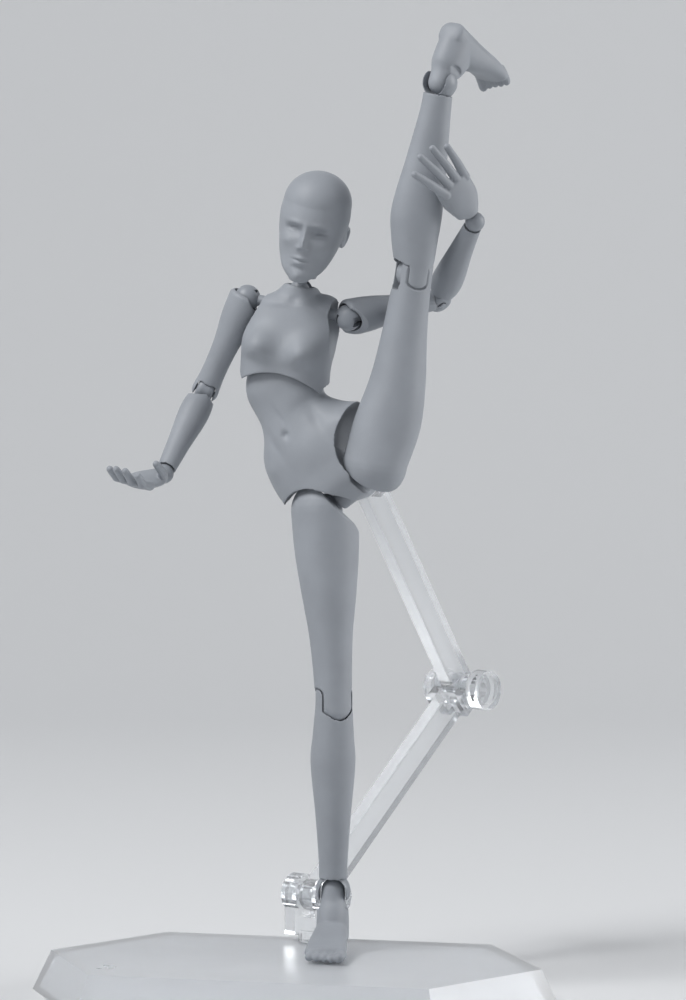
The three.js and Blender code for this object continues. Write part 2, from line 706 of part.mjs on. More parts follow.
function hand(name, side, curl, group) {
  const stations = [
    [-PALM_LENGTH, 3.1, 0.9, 0.9],
    [-5, 3.2, 1.1, 1.1],
    [-3, 2.4, 1.2, 1.2],
    [-WRIST_BALL - 0.1, 1.5, 1.3, 1.3],
  ];
  const parts = [solid(loft(stations, { steps: 4, bottom: 0.5, around: 10 }))];
  FINGER_LENGTHS.forEach((length, i) => {
    const x = -side * (1.5 - i) * FINGER_PITCH;
    const lean = rad(curl[0]);
    const bend = rad(curl[0] + curl[1]);
    const start = [x, 0, -PALM_LENGTH + 0.6];
    const first = length * 0.5;
    const knuckle = [x * 1.03, -first * Math.sin(lean), start[2] - first * Math.cos(lean)];
    const tip = [
      knuckle[0],
      knuckle[1] - first * Math.sin(bend),
      knuckle[2] - first * Math.cos(bend),
    ];
    parts.push(capsule(FINGER_RADIUS, start, knuckle, 0.75));
    parts.push(capsule(0.75, knuckle, tip, 0.6));
  });
  const thumb = -side * 2.4;
  const thumbJoint = [thumb * 1.35, THUMB_FORWARD[0], -5.6];
  parts.push(capsule(0.95, [thumb * 0.7, -0.2, -3], thumbJoint, 0.8));
  parts.push(capsule(0.8, thumbJoint, [thumb * 1.45, THUMB_FORWARD[1], -8.6], 0.6));
  parts.push(rod("z", HAND_PEG, 2.6, [0, 0, -1.7]));
  const cup = ball(WRIST_BALL + GAP).subtract(rod("z", HAND_PEG, 4));
  piece(name, joined(parts).subtract(cup), GREY, group);
}

// Legs.
const LEG_ROOT = [5.8, 5.8, 7.2];
const LEG_POST = 1.2;
const LEG_POST_END = 12;
const KNEE_RADIUS = 3.1;
const KNEE_HALF = 3.2; // half width of the knee
const KNEE_PIN = 0.6;
const KNEE_TONGUE = 1.3; // half thickness of the shin's middle tongue
const KNEE_WALL = 2.2; // outer face of the thigh's two walls
const KNEE_SWEEP = 2.7; // reach of the tongue behind the pin
const KNEECAP_BACK = 1.7; // inner face of the kneecap, in front of the pin
const KNEE_LIFT = 25; // degrees the tongue rises behind the pin

function kneeDisc(extra, x, length) {
  return rod("x", KNEE_RADIUS + 0.2 + extra, length, [x, 0, 0], 20);
}

function thigh(name, side, group) {
  const [wide, front, back] = LEG_ROOT;
  const stations = [
    [-THIGH, KNEE_HALF, 3.3, 3.2],
    [-27.5, 3.35, 3.5, 3.6],
    [-21, 3.8, 4.1, 4.1],
    [-14.5, 4.7, 4.8, 4.9],
    [-7, 5.5, 5.5, 6.6],
    [0, wide, front, back],
  ];
  const shell = solid(loft(stations, { steps: 8, top: wide, bottom: KNEE_RADIUS, around: 16 }));
  const top = KNEE_SWEEP + GAP;
  const slot = block([2 * (KNEE_TONGUE + GAP), 12, top + 8], [0, 6 - KNEECAP_BACK, -THIGH + top / 2 - 4]);
  const sides = [-1, 1].map((end) => kneeDisc(GAP, end * (KNEE_WALL + 5), 10).translate(0, 0, -THIGH));
  const cuts = [...rootCuts(HIP_BALL, LEG_POST, LEG_POST_END, -side, 0.9), slot, ...sides];
  const pin = rod("x", KNEE_PIN, 2 * KNEE_WALL, [0, 0, -THIGH]);
  piece(name, without(shell, cuts).add(pin), GREY, group);
}

const ANKLE_POST = 0.9;
const ANKLE_POST_END = 7;
const TONGUE_RADIUS = 1.6;

function shin(name, side, group) {
  const stations = [
    [-SHIN + 1.2, 2.4, 2.4, 2.6],
    [-28, 2.5, 2.6, 2.8],
    [-20, 3, 3.1, 4],
    [-11, 3.8, 3.5, 5.4],
    [-6, 3.5, 3.4, 5.1],
    [-1.5, KNEE_HALF, 3.3, 4],
  ];
  const shell = solid(loft(stations, { steps: 8, top: 0.6, bottom: 0.8, around: 14 }));
  const cap = [
    [-6, 3.5, 3.4, 5.1],
    [-1.5, KNEE_HALF, 3.3, 4],
    [KNEE_RADIUS + 0.5, KNEE_HALF, 3.3, 3.4],
  ];
  const lobe = solid(loft(cap, { steps: 4, around: 14 })).intersect(kneeDisc(0, 0, 20));
  const room = rod("x", KNEE_RADIUS + 0.5, 2 * (KNEE_WALL + GAP), [0, 0, 0], 20);
  const tongue = joined([
    rod("x", KNEECAP_BACK - GAP, 2 * KNEE_TONGUE),
    fan("x", KNEE_SWEEP, -90, KNEE_LIFT, 2 * KNEE_TONGUE),
    block([2 * KNEE_TONGUE, 2.4, 4.4], [0, 0.2, -2.6]),
  ]);
  const bumps = [-1, 1].map((end) => ball(1, [end * 2.5, 0.3, -SHIN + 0.7], [0.8, 1.5, 1.6]));
  const cuts = [
    rod("x", KNEE_PIN + PIN_PLAY, 2 * (KNEE_WALL + GAP)),
    ball(ANKLE_BALL + GAP, [0, 0, -SHIN]),
    postBore(ANKLE_POST, -SHIN + ANKLE_POST_END + GAP, -SHIN),
  ];
  piece(name, without(joined([joined([shell, lobe]).subtract(room), tongue, ...bumps]), cuts), GREY, group);
}

const ANKLE_PIN = 0.5;
const ANKLE_EYE = 1.5;
const ANKLE_TONGUE = 1.3;

function ankleJoint(name, group) {
  const post = rod("z", ANKLE_POST, ANKLE_POST_END - 0.5, [0, 0, (ANKLE_POST_END + 0.5) / 2]);
  const tongue = block([ANKLE_TONGUE, 1.8, 2.6], [0, 0, 1.3]);
  const eye = rod("x", ANKLE_EYE, ANKLE_TONGUE);
  const hole = rod("x", ANKLE_PIN + PIN_PLAY, 8);
  piece(name, joined([eye, tongue, post]).subtract(hole), JOINT_GREY, group);
}

const FOOT_LENGTH = 20;
const HEEL = 3.5;
const TOE_LENGTHS = [3, 2.8, 2.5, 2.2, 1.8];

function foot(name, side, group) {
  const sole = -ANKLE_HEIGHT;
  const heights = [
    [-HEEL, 2.3, 3.6],
    [-1, 2.6, 5.2],
    [4, 2.9, 5],
    [8.5, 3.4, 3.2],
    [12, 3.6, 2.3],
  ];
  // Stations run along the foot, so the form is built upright and laid down on the sole.
  const rows = heights.map(([along, wide, high]) => [along, wide, high / 2, high / 2, 0, -high / 2]);
  const form = loft(rows, { steps: 7, top: 1, bottom: 1, boxy: 2.6, around: 14 });
  const parts = [solid(form.rotateX(Math.PI / 2).translate(0, 0, sole))];
  const collar = [
    [sole + 2, 2.7, 4.6, 3.6],
    [-4.6, 2.6, 3.4, 3],
    [-2.4, 2.1, 2.2, 2.2],
    [0, 2.1, 2.1, 2.1],
  ];
  parts.push(solid(loft(collar, { steps: 4, top: 2.1, around: 12 })), ball(ANKLE_BALL));
  TOE_LENGTHS.forEach((length, i) => {
    const x = -side * (2.7 - i * 1.32);
    const radius = i ? 0.75 : 0.95;
    parts.push(capsule(radius, [x, -11, sole + radius + 0.05], [x, -12.4 - length, sole + radius + 0.05]));
  });
  const slot = block([ANKLE_TONGUE + 2 * GAP, 8, 6], [0, 0, 3 - ANKLE_EYE - GAP]);
  const pin = rod("x", ANKLE_PIN, 3);
  piece(name, joined(parts).subtract(slot).add(pin), GREY, group);
}

// The chain of joints, each group inside the one that carries it.
const root = new THREE.Group();

const baseGroup = new THREE.Group();
baseGroup.rotation.z = rad(BASE_TURN);
root.add(baseGroup);
standBase(baseGroup);

const lowerHingeHeight = BASE_HEIGHT + HINGE_HEIGHT;
const post = jointed(root, "post_turn", [...POST_PLACE, lowerHingeHeight], "z", HINGE_TURN);
standPost(post);
const lowerBar = jointed(post, "lower_bar_hinge", [0, 0, 0], "x", -POSE.lowerBar);
standBar("lower_bar", LOWER_BAR, lowerBar);
middleKnob(inPlace(lowerBar, [0, 0, LOWER_BAR]));
const upperBar = jointed(lowerBar, "middle_hinge", [0, 0, LOWER_BAR], "x", -POSE.upperBar);
standBar("upper_bar", UPPER_BAR, upperBar);
const topHinge = inPlace(upperBar, [0, 0, UPPER_BAR]);
piece("top_pin", hingePin(CHEEK_OUT, CHEEK_OUT), CLEAR, topHinge);
const standTop = jointed(upperBar, "top_hinge", [0, 0, UPPER_BAR], "x", -POSE.standHead);
standHead(standTop);
const peg = jointed(standTop, "peg_turn", [0, 0, HEAD_RISE], "z", POSE.peg);
backPeg(peg);
const torsoRoll = jointed(peg, "torso_roll", [0, -PEG_REACH, 0], "y", POSE.torsoRoll);
const hips = inPlace(torsoRoll, [0, -BACK_DEPTH, -PEG_HEIGHT]);
lowerTorso(hips);

const waistLean = jointed(hips, "waist_lean", [0, 0, TORSO_HEIGHT], "y", POSE.waistLean);
waistBall(waistLean);
const waistBow = jointed(waistLean, "waist_bow", [0, 0, 0], "x", POSE.waistBow);
waistPost(waistBow);
const chestTurn = jointed(waistBow, "chest_turn", [0, 0, 0], "z", POSE.chestTurn);
chest(chestTurn);

const neckNod = jointed(chestTurn, "neck_nod", [0, 0, CHEST_HEIGHT], "x", POSE.head[0]);
neckBall(neckNod);
const neckLean = jointed(neckNod, "neck_lean", [0, 0, 0], "y", POSE.head[1]);
neckPost(neckLean);
head(jointed(neckLean, "head_turn", [0, 0, NECK_LENGTH], "z", POSE.head[2]));

function arm(label, side) {
  const pose = (part) => POSE[label + part];
  const name = (part) => label + "_" + part;
  const [swing, spread, turn] = pose("Shoulder");
  const place = [(side * SHOULDER_SPACING) / 2, 0, SHOULDER_HEIGHT];
  const ballGroup = jointed(chestTurn, name("shoulder_swing"), place, "x", swing);
  piece(name("shoulder_ball"), jointBall(SHOULDER_BALL, -side, SHOULDER_PEG), JOINT_GREY, ballGroup);
  const link = jointed(ballGroup, name("shoulder_spread"), [0, 0, 0], "y", spread);
  piece(name("shoulder_link"), jointLink(SHOULDER_BALL, ARM_POST, ARM_POST_END), JOINT_GREY, link);
  const upper = jointed(link, name("upper_arm_turn"), [0, 0, 0], "z", turn);
  upperArm(name("upper_arm"), side, upper);
  const elbow = jointed(upper, name("elbow_hinge"), [0, 0, -UPPER_ARM], "x", pose("Elbow"));
  elbowJoint(name("elbow_joint"), elbow);
  const lower = jointed(elbow, name("forearm_turn"), [0, 0, 0], "z", pose("Forearm"));
  forearm(name("forearm"), lower);
  const wrist = jointed(lower, name("wrist_hinge"), [0, 0, -FOREARM], "x", pose("Wrist"));
  wristBall(name("wrist_ball"), wrist);
  const palm = jointed(wrist, name("hand_turn"), [0, 0, 0], "z", pose("Hand"));
  hand(name("hand"), side, HAND_CURL[label], palm);
}

function leg(label, side) {
  const pose = (part) => POSE[label + part];
  const name = (part) => label + "_" + part;
  const [swing, spread, turn] = pose("Hip");
  const ballGroup = jointed(hips, name("hip_swing"), [(side * HIP_SPACING) / 2, 0, 0], "x", swing);
  piece(name("hip_ball"), jointBall(HIP_BALL, -side, HIP_PEG), JOINT_GREY, ballGroup);
  const link = jointed(ballGroup, name("hip_spread"), [0, 0, 0], "y", spread);
  piece(name("hip_link"), jointLink(HIP_BALL, LEG_POST, LEG_POST_END), JOINT_GREY, link);
  const upper = jointed(link, name("thigh_turn"), [0, 0, 0], "z", turn);
  thigh(name("thigh"), side, upper);
  const lower = jointed(upper, name("knee_hinge"), [0, 0, -THIGH], "x", pose("Knee"));
  shin(name("shin"), side, lower);
  const ankle = jointed(lower, name("ankle_turn"), [0, 0, -SHIN], "z", pose("Ankle"));
  ankleJoint(name("ankle_joint"), ankle);
  const sole = jointed(ankle, name("foot_hinge"), [0, 0, 0], "x", pose("Foot"));
  foot(name("foot"), side, sole);
}

for (const [label, side] of [["right", -1], ["left", 1]]) {
  arm(label, side);
  leg(label, side);
}

// The origin lies on the ground under the middle of the whole figure and stand.
root.updateMatrixWorld(true);
const middle = new THREE.Box3().setFromObject(root, true).getCenter(new THREE.Vector3()).setZ(0);
for (const child of root.children) child.position.sub(middle);

export default root;
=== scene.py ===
# %% [markdown]
# A jointed grey figure for drawing practice, held up by a clear folding stand.
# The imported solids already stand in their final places. This lesson loads them,
# works out a small frame for every limb, and then makes each plastic piece again
# with a finer skin, so that the moulded curves are smooth from close by.

import json

import bmesh
import bpy
import numpy as np
from mathutils import Matrix, Vector

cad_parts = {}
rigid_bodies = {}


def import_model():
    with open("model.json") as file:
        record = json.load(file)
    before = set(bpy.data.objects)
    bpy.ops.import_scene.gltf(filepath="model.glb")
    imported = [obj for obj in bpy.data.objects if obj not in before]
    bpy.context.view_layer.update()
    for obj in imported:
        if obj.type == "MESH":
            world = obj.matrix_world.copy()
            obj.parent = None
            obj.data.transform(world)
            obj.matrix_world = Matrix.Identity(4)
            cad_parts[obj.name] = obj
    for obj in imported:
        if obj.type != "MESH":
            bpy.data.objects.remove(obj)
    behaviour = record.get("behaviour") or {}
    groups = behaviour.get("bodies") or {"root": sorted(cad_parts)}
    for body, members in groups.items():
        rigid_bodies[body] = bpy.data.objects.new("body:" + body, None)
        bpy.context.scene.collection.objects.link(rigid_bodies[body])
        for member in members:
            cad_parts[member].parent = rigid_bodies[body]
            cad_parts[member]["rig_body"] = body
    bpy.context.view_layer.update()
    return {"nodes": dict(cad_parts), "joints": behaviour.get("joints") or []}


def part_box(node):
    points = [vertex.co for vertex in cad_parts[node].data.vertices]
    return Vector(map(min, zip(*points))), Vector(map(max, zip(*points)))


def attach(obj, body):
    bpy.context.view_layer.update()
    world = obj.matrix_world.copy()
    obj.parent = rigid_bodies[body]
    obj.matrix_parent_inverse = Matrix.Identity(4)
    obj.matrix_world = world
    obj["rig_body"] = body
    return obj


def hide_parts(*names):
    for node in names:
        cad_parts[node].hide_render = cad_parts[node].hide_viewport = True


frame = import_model()

# %% [markdown]
# Every hinge of the real figure is a pin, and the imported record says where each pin
# lies. Two pins and the line between two joints give a limb its own frame: X to the
# figure's left, Y out of its back and Z up the body. Shapes are then written in
# plain millimetres in that frame, as a maker would measure them on the bench.

# %% Joint places and limb frames
MM = 0.001
joints = {joint["name"]: joint for joint in frame["joints"]}


def spot(name):
    return Vector(joints[name]["pos_m"])


def pin(name, like):
    """Direction of a joint's pin, turned to point the same way as another direction."""
    axis = Vector(joints[name]["axis"]).normalized()
    return axis if axis.dot(like) > 0 else -axis


def frame_of(origin, across, up):
    """Millimetre frame at a place, from its X direction and the direction its Z leans to."""
    x = across.normalized()
    y = up.cross(x).normalized()
    z = x.cross(y)
    return Matrix.Translation(origin) @ Matrix((x, y, z)).transposed().to_4x4() @ Matrix.Scale(MM, 4)


def axis_of(place, k):
    return place.col[k].to_3d().normalized()


def turned(place, axis, degrees):
    return place @ Matrix.Rotation(np.radians(degrees), 4, axis)


def middle_of(a, b):
    return (spot(a) + spot(b)) / 2


AWAY = Vector((0, 1, 0))
hips_across = spot("left_hip_swing") - spot("right_hip_swing")
back = pin("torso_roll", AWAY)
torso_frame = frame_of(middle_of("left_hip_swing", "right_hip_swing"), hips_across, hips_across.cross(back))
chest_across = spot("left_shoulder_swing") - spot("right_shoulder_swing")
chest_up = pin("chest_turn", spot("neck_nod") - spot("waist_lean"))
chest_frame = frame_of(spot("waist_lean"), chest_across, chest_up)
print("torso leans", round(np.degrees(axis_of(torso_frame, 2).angle(Vector((0, 0, 1)))), 1), "degrees")
print("chest leans", round(np.degrees(axis_of(chest_frame, 2).angle(Vector((0, 0, 1)))), 1), "degrees")

# %% [markdown]
# The head, the hands and the feet each turn once more at their last joint. Nothing
# beyond that joint shows the angle, so the three small turns are written down here.

# %% Frames of the head, arms and legs
HEAD_TURN = 6
HAND_TURN = {"right": 10, "left": 39.5}
FOOT_NOD = {"right": -3, "left": -24.5}

neck_across = pin("neck_lean", axis_of(chest_frame, 1)).cross(pin("head_turn", chest_up))
neck_frame = frame_of(spot("neck_nod"), neck_across, pin("head_turn", chest_up))
head_frame = turned(frame_of(spot("head_turn"), neck_across, pin("head_turn", chest_up)), "Z", HEAD_TURN)

limbs = {}
for side in ("right", "left"):
    shoulder, elbow, wrist = (spot(f"{side}_{k}") for k in ("shoulder_swing", "elbow_hinge", "wrist_hinge"))
    # The raised left arm is turned by more than half way round, so its pin points back.
    outward = axis_of(chest_frame, 0) * (-1 if side == "left" else 1)
    elbow_pin = pin(f"{side}_elbow_hinge", outward)
    wrist_pin = pin(f"{side}_wrist_hinge", elbow_pin)
    upper_up = shoulder - elbow
    lower_up = elbow - wrist
    hand_up = pin(f"{side}_hand_turn", lower_up)
    hip, knee, ankle = (spot(f"{side}_{k}") for k in ("hip_swing", "knee_hinge", "foot_hinge"))
    knee_pin = pin(f"{side}_knee_hinge", axis_of(torso_frame, 0))
    foot_pin = pin(f"{side}_foot_hinge", knee_pin)
    limbs[side] = {
        "upper_arm": frame_of(shoulder, elbow_pin, upper_up),
        "elbow": frame_of(elbow, elbow_pin, lower_up),
        "forearm": frame_of(elbow, wrist_pin, lower_up),
        "wrist": frame_of(wrist, wrist_pin, hand_up),
        "hand": turned(frame_of(wrist, wrist_pin, hand_up), "Z", HAND_TURN[side]),
        "thigh": frame_of(hip, knee_pin, hip - knee),
        "shin": frame_of(knee, knee_pin, knee - ankle),
        "ankle": frame_of(ankle, foot_pin, knee - ankle),
        "foot": turned(frame_of(ankle, foot_pin, knee - ankle), "X", FOOT_NOD[side]),
        "lengths": {"upper_arm": upper_up.length / MM, "forearm": lower_up.length / MM,
                    "thigh": (hip - knee).length / MM, "shin": (knee - ankle).length / MM},
    }
    print(side, {k: round(v, 2) for k, v in limbs[side]["lengths"].items()})

# %% [markdown]
# A moulded limb is a rounded form whose outline changes slowly along its length.
# It could be carved from a cylinder by hand, but a loft is exact: a few stations
# give half width, front depth and back depth, and a smooth curve runs through them.
# Brows, lips, collarbones and a navel are too soft for cutters, so they are pressed
# into the lofted skin afterwards: each is one bell-shaped swell or dent.
# Every helper here returns a form, a pair of points and faces in millimetres.

# %% Lofted forms
def smooth_through(values, s):
    """Values at places s of 0 to 1 on a smooth curve through evenly spaced stations."""
    values = np.asarray(values, float)
    last = len(values) - 1
    i = np.minimum((s * last).astype(int), last - 1)
    t = s * last - i
    a, b, c, d = (values[np.clip(i + k, 0, last)] for k in (-1, 0, 1, 2))
    return b + 0.5 * t * (c - a + t * (2 * a - 5 * b + 4 * c - d + t * (3 * (b - c) + d - a)))


def tube_faces(rings, around):
    """Faces of stacked rings, closed by a fan at each end."""
    faces = []
    low_pole, high_pole = rings * around, rings * around + 1
    for i in range(around):
        j = (i + 1) % around
        faces.append((low_pole, j, i))
        faces.append((high_pole, (rings - 1) * around + i, (rings - 1) * around + j))
        faces.extend((r * around + i, r * around + j, (r + 1) * around + j, (r + 1) * around + i)
                     for r in range(rings - 1))
    return faces


def loft(stations, steps=40, top=0.0, bottom=0.0, boxy=2.0, around=72, dome=9):
    """Rounded form through rows of [height, half width, front, back, shift X, shift forward]."""
    rows = [list(row) + [0] * (6 - len(row)) for row in stations]
    columns = list(zip(*rows))
    falling, rising = np.pi / 2 * (1 - np.arange(1, dome) / dome), np.pi / 2 * np.arange(1, dome) / dome
    places = [(0.0, -bottom * np.sin(a), np.cos(a)) for a in falling if bottom]
    places += [(k / steps, 0.0, 1.0) for k in range(steps + 1)]
    places += [(1.0, top * np.sin(a), np.cos(a)) for a in rising if top]
    s, rise, scale = (np.array(v) for v in zip(*places))
    z, wide, front, deep, shift_x, shift_y = (smooth_through(column, s)[:, None] for column in columns)
    angle = 2 * np.pi * np.arange(around) / around
    c, n = np.cos(angle), np.sin(angle)
    x = np.sign(c) * np.abs(c) ** (2 / boxy) * wide * scale[:, None] + shift_x
    y = np.sign(n) * np.abs(n) ** (2 / boxy) * np.where(n < 0, front, deep) * scale[:, None] - shift_y
    rings = np.stack([x, y, np.broadcast_to(z + rise[:, None], x.shape)], axis=2)
    poles = [[shift_x[k, 0], -shift_y[k, 0], z[k, 0] + rise] for k, rise in ((0, -bottom), (-1, top))]
    return np.vstack([rings.reshape(-1, 3), poles]), tube_faces(len(s), around)


FADE = 1.6


def pressed(form, marks, facing=-1):
    """Soft swells and dents on the front (-1) or the back (1) of a form.

    A mark is [x, z, half width, half height, rise]; a rise below zero is a dent."""
    points = form[0].copy()
    shown = np.clip(facing * points[:, 1] / FADE, 0, 1)
    for x, z, wide, tall, rise in marks:
        reach = ((form[0][:, 0] - x) / wide) ** 2 + ((form[0][:, 2] - z) / tall) ** 2
        points[:, 1] += facing * rise * shown * np.exp(-reach)
    return points, form[1]


def both_sides(marks):
    return [[side * x, *rest] for side in (-1, 1) for x, *rest in marks]


print("loft ready:", len(loft([[0, 1, 1, 1], [2, 1, 1, 1]])[1]), "faces on a test form")

# %% [markdown]
# Joint balls, pins and posts are plain turned shapes. A ball is a stretched sphere,
# a rod is a cylinder along one axis, and a capsule is a finger: round at both ends
# and a little thinner at the tip.

# %% Balls, rods, blocks and capsules
def moved(form, place=(0, 0, 0), turn=None):
    points = form[0] if turn is None else form[0] @ np.array(turn.to_3x3()).T
    return points + np.array(place, float), form[1]


def ball(radius, place=(0, 0, 0), stretch=(1, 1, 1), around=48):
    rings = around // 2 - 1
    a = np.pi * (np.arange(1, rings + 1) / (rings + 1)) - np.pi / 2
    t = 2 * np.pi * np.arange(around) / around
    ring = np.stack([np.cos(a)[:, None] * np.cos(t), np.cos(a)[:, None] * np.sin(t),
                     np.broadcast_to(np.sin(a)[:, None], (rings, around))], axis=2)
    points = np.vstack([ring.reshape(-1, 3), [[0, 0, -1], [0, 0, 1]]])
    return points * radius * np.array(stretch) + np.array(place, float), tube_faces(rings, around)


UPRIGHT = {
    "x": Matrix.Rotation(np.pi / 2, 4, "Y"),
    "y": Matrix.Rotation(-np.pi / 2, 4, "X"),
    "z": Matrix.Identity(4),
}


def rod(axis, radius, length, place=(0, 0, 0), end_radius=None, around=48):
    t = 2 * np.pi * np.arange(around) / around
    rings = [[r * np.cos(t), r * np.sin(t), np.full(around, h)]
             for r, h in ((radius, -length / 2), (end_radius or radius, length / 2))]
    points = np.vstack([np.array(ring).T for ring in rings] + [[[0, 0, -length / 2], [0, 0, length / 2]]])
    return moved((points, tube_faces(2, around)), place, UPRIGHT[axis])


def block(size, place=(0, 0, 0)):
    corners = np.array([[x, y, z] for z in (-1, 1) for x, y in ((-1, -1), (1, -1), (1, 1), (-1, 1))]) / 2
    faces = [(3, 2, 1, 0), (4, 5, 6, 7), (0, 1, 5, 4), (1, 2, 6, 5), (2, 3, 7, 6), (3, 0, 4, 7)]
    return corners * np.array(size) + np.array(place, float), faces


def capsule(radius, start, end, end_radius=None):
    start, end = Vector(start), Vector(end)
    end_radius = end_radius or radius
    rows = [[0, radius, radius, radius], [(end - start).length, end_radius, end_radius, end_radius]]
    form = loft(rows, steps=6, top=end_radius, bottom=radius, around=32)
    return moved(form, start, (end - start).to_track_quat("Z", "Y").to_matrix())


def fan(axis, radius, start, end, thickness, steps=30):
    """Slice of a disc round an axis, between two angles measured from sideways or from the back."""
    t = np.radians(np.linspace(start, end, steps))
    rim = [(0.0, 0.0)] + [(radius * np.cos(a), radius * np.sin(a)) for a in t]
    sides = [[(u, -w, v) for u, v in rim] for w in (-thickness / 2, thickness / 2)]
    points = np.array(sides[0] + sides[1], float)
    n = len(rim)
    faces = [tuple(range(n))[::-1], tuple(range(n, 2 * n))]
    faces += [(i, (i + 1) % n, n + (i + 1) % n, n + i) for i in range(n)]
    if axis == "x":
        points = points[:, [1, 0, 2]] * (-1, 1, 1)
    return points, faces


print("ball of 48 facets:", len(ball(1)[1]), "faces")

# %% [markdown]
# The mould makes one skin over muscles, fingers and lips, with no seam where they
# meet. Overlapping forms are therefore melted into one voxel skin and relaxed a few
# times. Openings are cut afterwards with exact cutters, so that their rims stay
# crisp, and a last fine skin rounds those rims by a hair as a mould does.
# The grain is the size of a skin's facets in millimetres, finer where details are small.

# %% Melting forms together and cutting them
BODY_GRAIN, LIMB_GRAIN, FOOT_GRAIN, HAND_GRAIN, HEAD_GRAIN = 0.2, 0.18, 0.16, 0.12, 0.11
RIM_GRAIN, ARM_RIM_GRAIN, HAND_RIM_GRAIN, HEAD_RIM_GRAIN = 0.16, 0.14, 0.11, 0.1
RIM_ROUNDS = 2


def mesh_of(form):
    """A closed mesh from a form, with its faces turned outwards."""
    mesh = bpy.data.meshes.new("working_form")
    mesh.from_pydata(form[0].tolist(), [], form[1])
    work = bmesh.new()
    work.from_mesh(mesh)
    bmesh.ops.recalc_face_normals(work, faces=work.faces)
    work.to_mesh(mesh)
    work.free()
    return mesh


def form_of(mesh):
    return points_of(mesh), [tuple(face.vertices) for face in mesh.polygons]


def points_of(mesh):
    points = np.empty(len(mesh.vertices) * 3)
    mesh.vertices.foreach_get("co", points)
    return points.reshape(-1, 3)


def standing(shape):
    """A working object for a form or a mesh."""
    mesh = mesh_of(shape) if isinstance(shape, tuple) else shape
    thing = bpy.data.objects.new("working_piece", mesh)
    bpy.context.scene.collection.objects.link(thing)
    return thing


def together(forms):
    points, faces, start = [], [], 0
    for form_points, form_faces in forms:
        points.append(form_points)
        faces.extend(tuple(start + i for i in face) for face in form_faces)
        start += len(form_points)
    return np.vstack(points), faces


def baked(thing):
    """The mesh of an object with its modifiers applied; the working object is deleted."""
    mesh = bpy.data.meshes.new_from_object(thing.evaluated_get(bpy.context.evaluated_depsgraph_get()))
    bpy.data.meshes.remove(thing.data)
    return mesh


def skinned(shape, grain, rounds):
    """One voxel skin round everything, relaxed by a number of rounds."""
    thing = standing(shape)
    melt = thing.modifiers.new("melt", "REMESH")
    melt.mode = "VOXEL"
    melt.voxel_size = grain
    relax = thing.modifiers.new("relax", "SMOOTH")
    relax.factor = 0.5
    relax.iterations = rounds
    return baked(thing)


def cut_and_joined(shape, cuts=(), adds=(), within=()):
    """Keeps what lies within some shapes, cuts exact openings, then joins exact parts."""
    thing = standing(shape)
    tools = []
    for operation, shapes in (("INTERSECT", within), ("DIFFERENCE", cuts), ("UNION", adds)):
        for tool in map(standing, shapes):
            step = thing.modifiers.new("step", "BOOLEAN")
            step.operation = operation
            step.solver = "MANIFOLD"
            step.object = tool
            tools.append(tool)
    result = baked(thing)
    for tool in tools:
        bpy.data.meshes.remove(tool.data)
    return result


def carved(mesh, cuts=(), adds=(), grain=RIM_GRAIN):
    """Cuts exact openings, joins exact parts, and rounds every rim a little."""
    return skinned(cut_and_joined(mesh, cuts, adds), grain, RIM_ROUNDS)


finished = {}


def fit(node, mesh, place):
    """Puts a finished mesh where its solid stands, in place of it, and lets it ride on that body."""
    mesh.transform(place)
    mesh.shade_smooth()
    thing = bpy.data.objects.new(node + "_skin", mesh)
    bpy.context.scene.collection.objects.link(thing)
    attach(thing, frame["nodes"][node]["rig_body"])
    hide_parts(node)
    finished[node] = thing
    corners = [thing.matrix_world @ Vector(thing.bound_box[k]) for k in (0, 6)]
    apart = max((skin - solid).length for skin, solid in zip(corners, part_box(node)))
    print(f"{node}: {len(mesh.polygons)} faces, corner within {apart / MM:.2f} mm of the solid's")
    return thing


print("tools ready")

# %% [markdown]
# Hips, shoulders, neck and waist share one joint: a slotted ball on a peg, and a flat
# eye on a post that swings on a pin inside the slot. The ball turns on its peg, the
# eye swings on the pin and the limb turns on the post, which gives three ways to move.
# Every share below is of the ball's radius, as on the solids.

# %% Slotted balls and their eyes
GAP = 0.3
PIN_PLAY = 0.22
BORE_PLAY = 0.2
PEG_SHARE, PIN_SHARE, SLOT_SHARE, EYE_SHARE = 0.42, 0.24, 0.38, 0.62
PIN_LENGTH_SHARE, PEG_ROOT_SHARE, STEM_WIDE_SHARE, STEM_LONG_SHARE = 1.4, 0.85, 1.1, 1.3
SIDES = {"right": -1, "left": 1}
UPSIDE_DOWN = Matrix.Rotation(np.pi, 4, "X")
SHARP_ANGLE = 30


def slotted_ball(radius, peg_side=0, peg_length=0.0):
    top = EYE_SHARE * radius + GAP
    reach = top if peg_side else 2 * radius
    width = 2 * radius + reach
    slot_place = (peg_side * (reach - width / 2), 0, top - 1.5 * radius)
    slot = block((width, 2 * SLOT_SHARE * radius, 3 * radius), slot_place)
    adds = [rod("y", PIN_SHARE * radius, PIN_LENGTH_SHARE * radius)]
    if peg_side:
        peg_middle = peg_side * (PEG_ROOT_SHARE * radius + peg_length / 2)
        adds.append(rod("x", PEG_SHARE * radius, peg_length, (peg_middle, 0, 0)))
    return cut_and_joined(ball(radius), [slot], adds)


def eye_and_post(radius, post_radius, length):
    thick = 2 * (SLOT_SHARE * radius - PIN_PLAY)
    stem = (STEM_WIDE_SHARE * EYE_SHARE * radius, thick, STEM_LONG_SHARE * radius)
    adds = [block(stem, (0, 0, -STEM_LONG_SHARE / 2 * radius)),
            rod("z", post_radius, length - radius, (0, 0, -(radius + length) / 2))]
    mesh = cut_and_joined(rod("y", EYE_SHARE * radius, thick), (), adds)
    return cut_and_joined(mesh, [rod("y", PIN_SHARE * radius + PIN_PLAY, 2 * radius)])


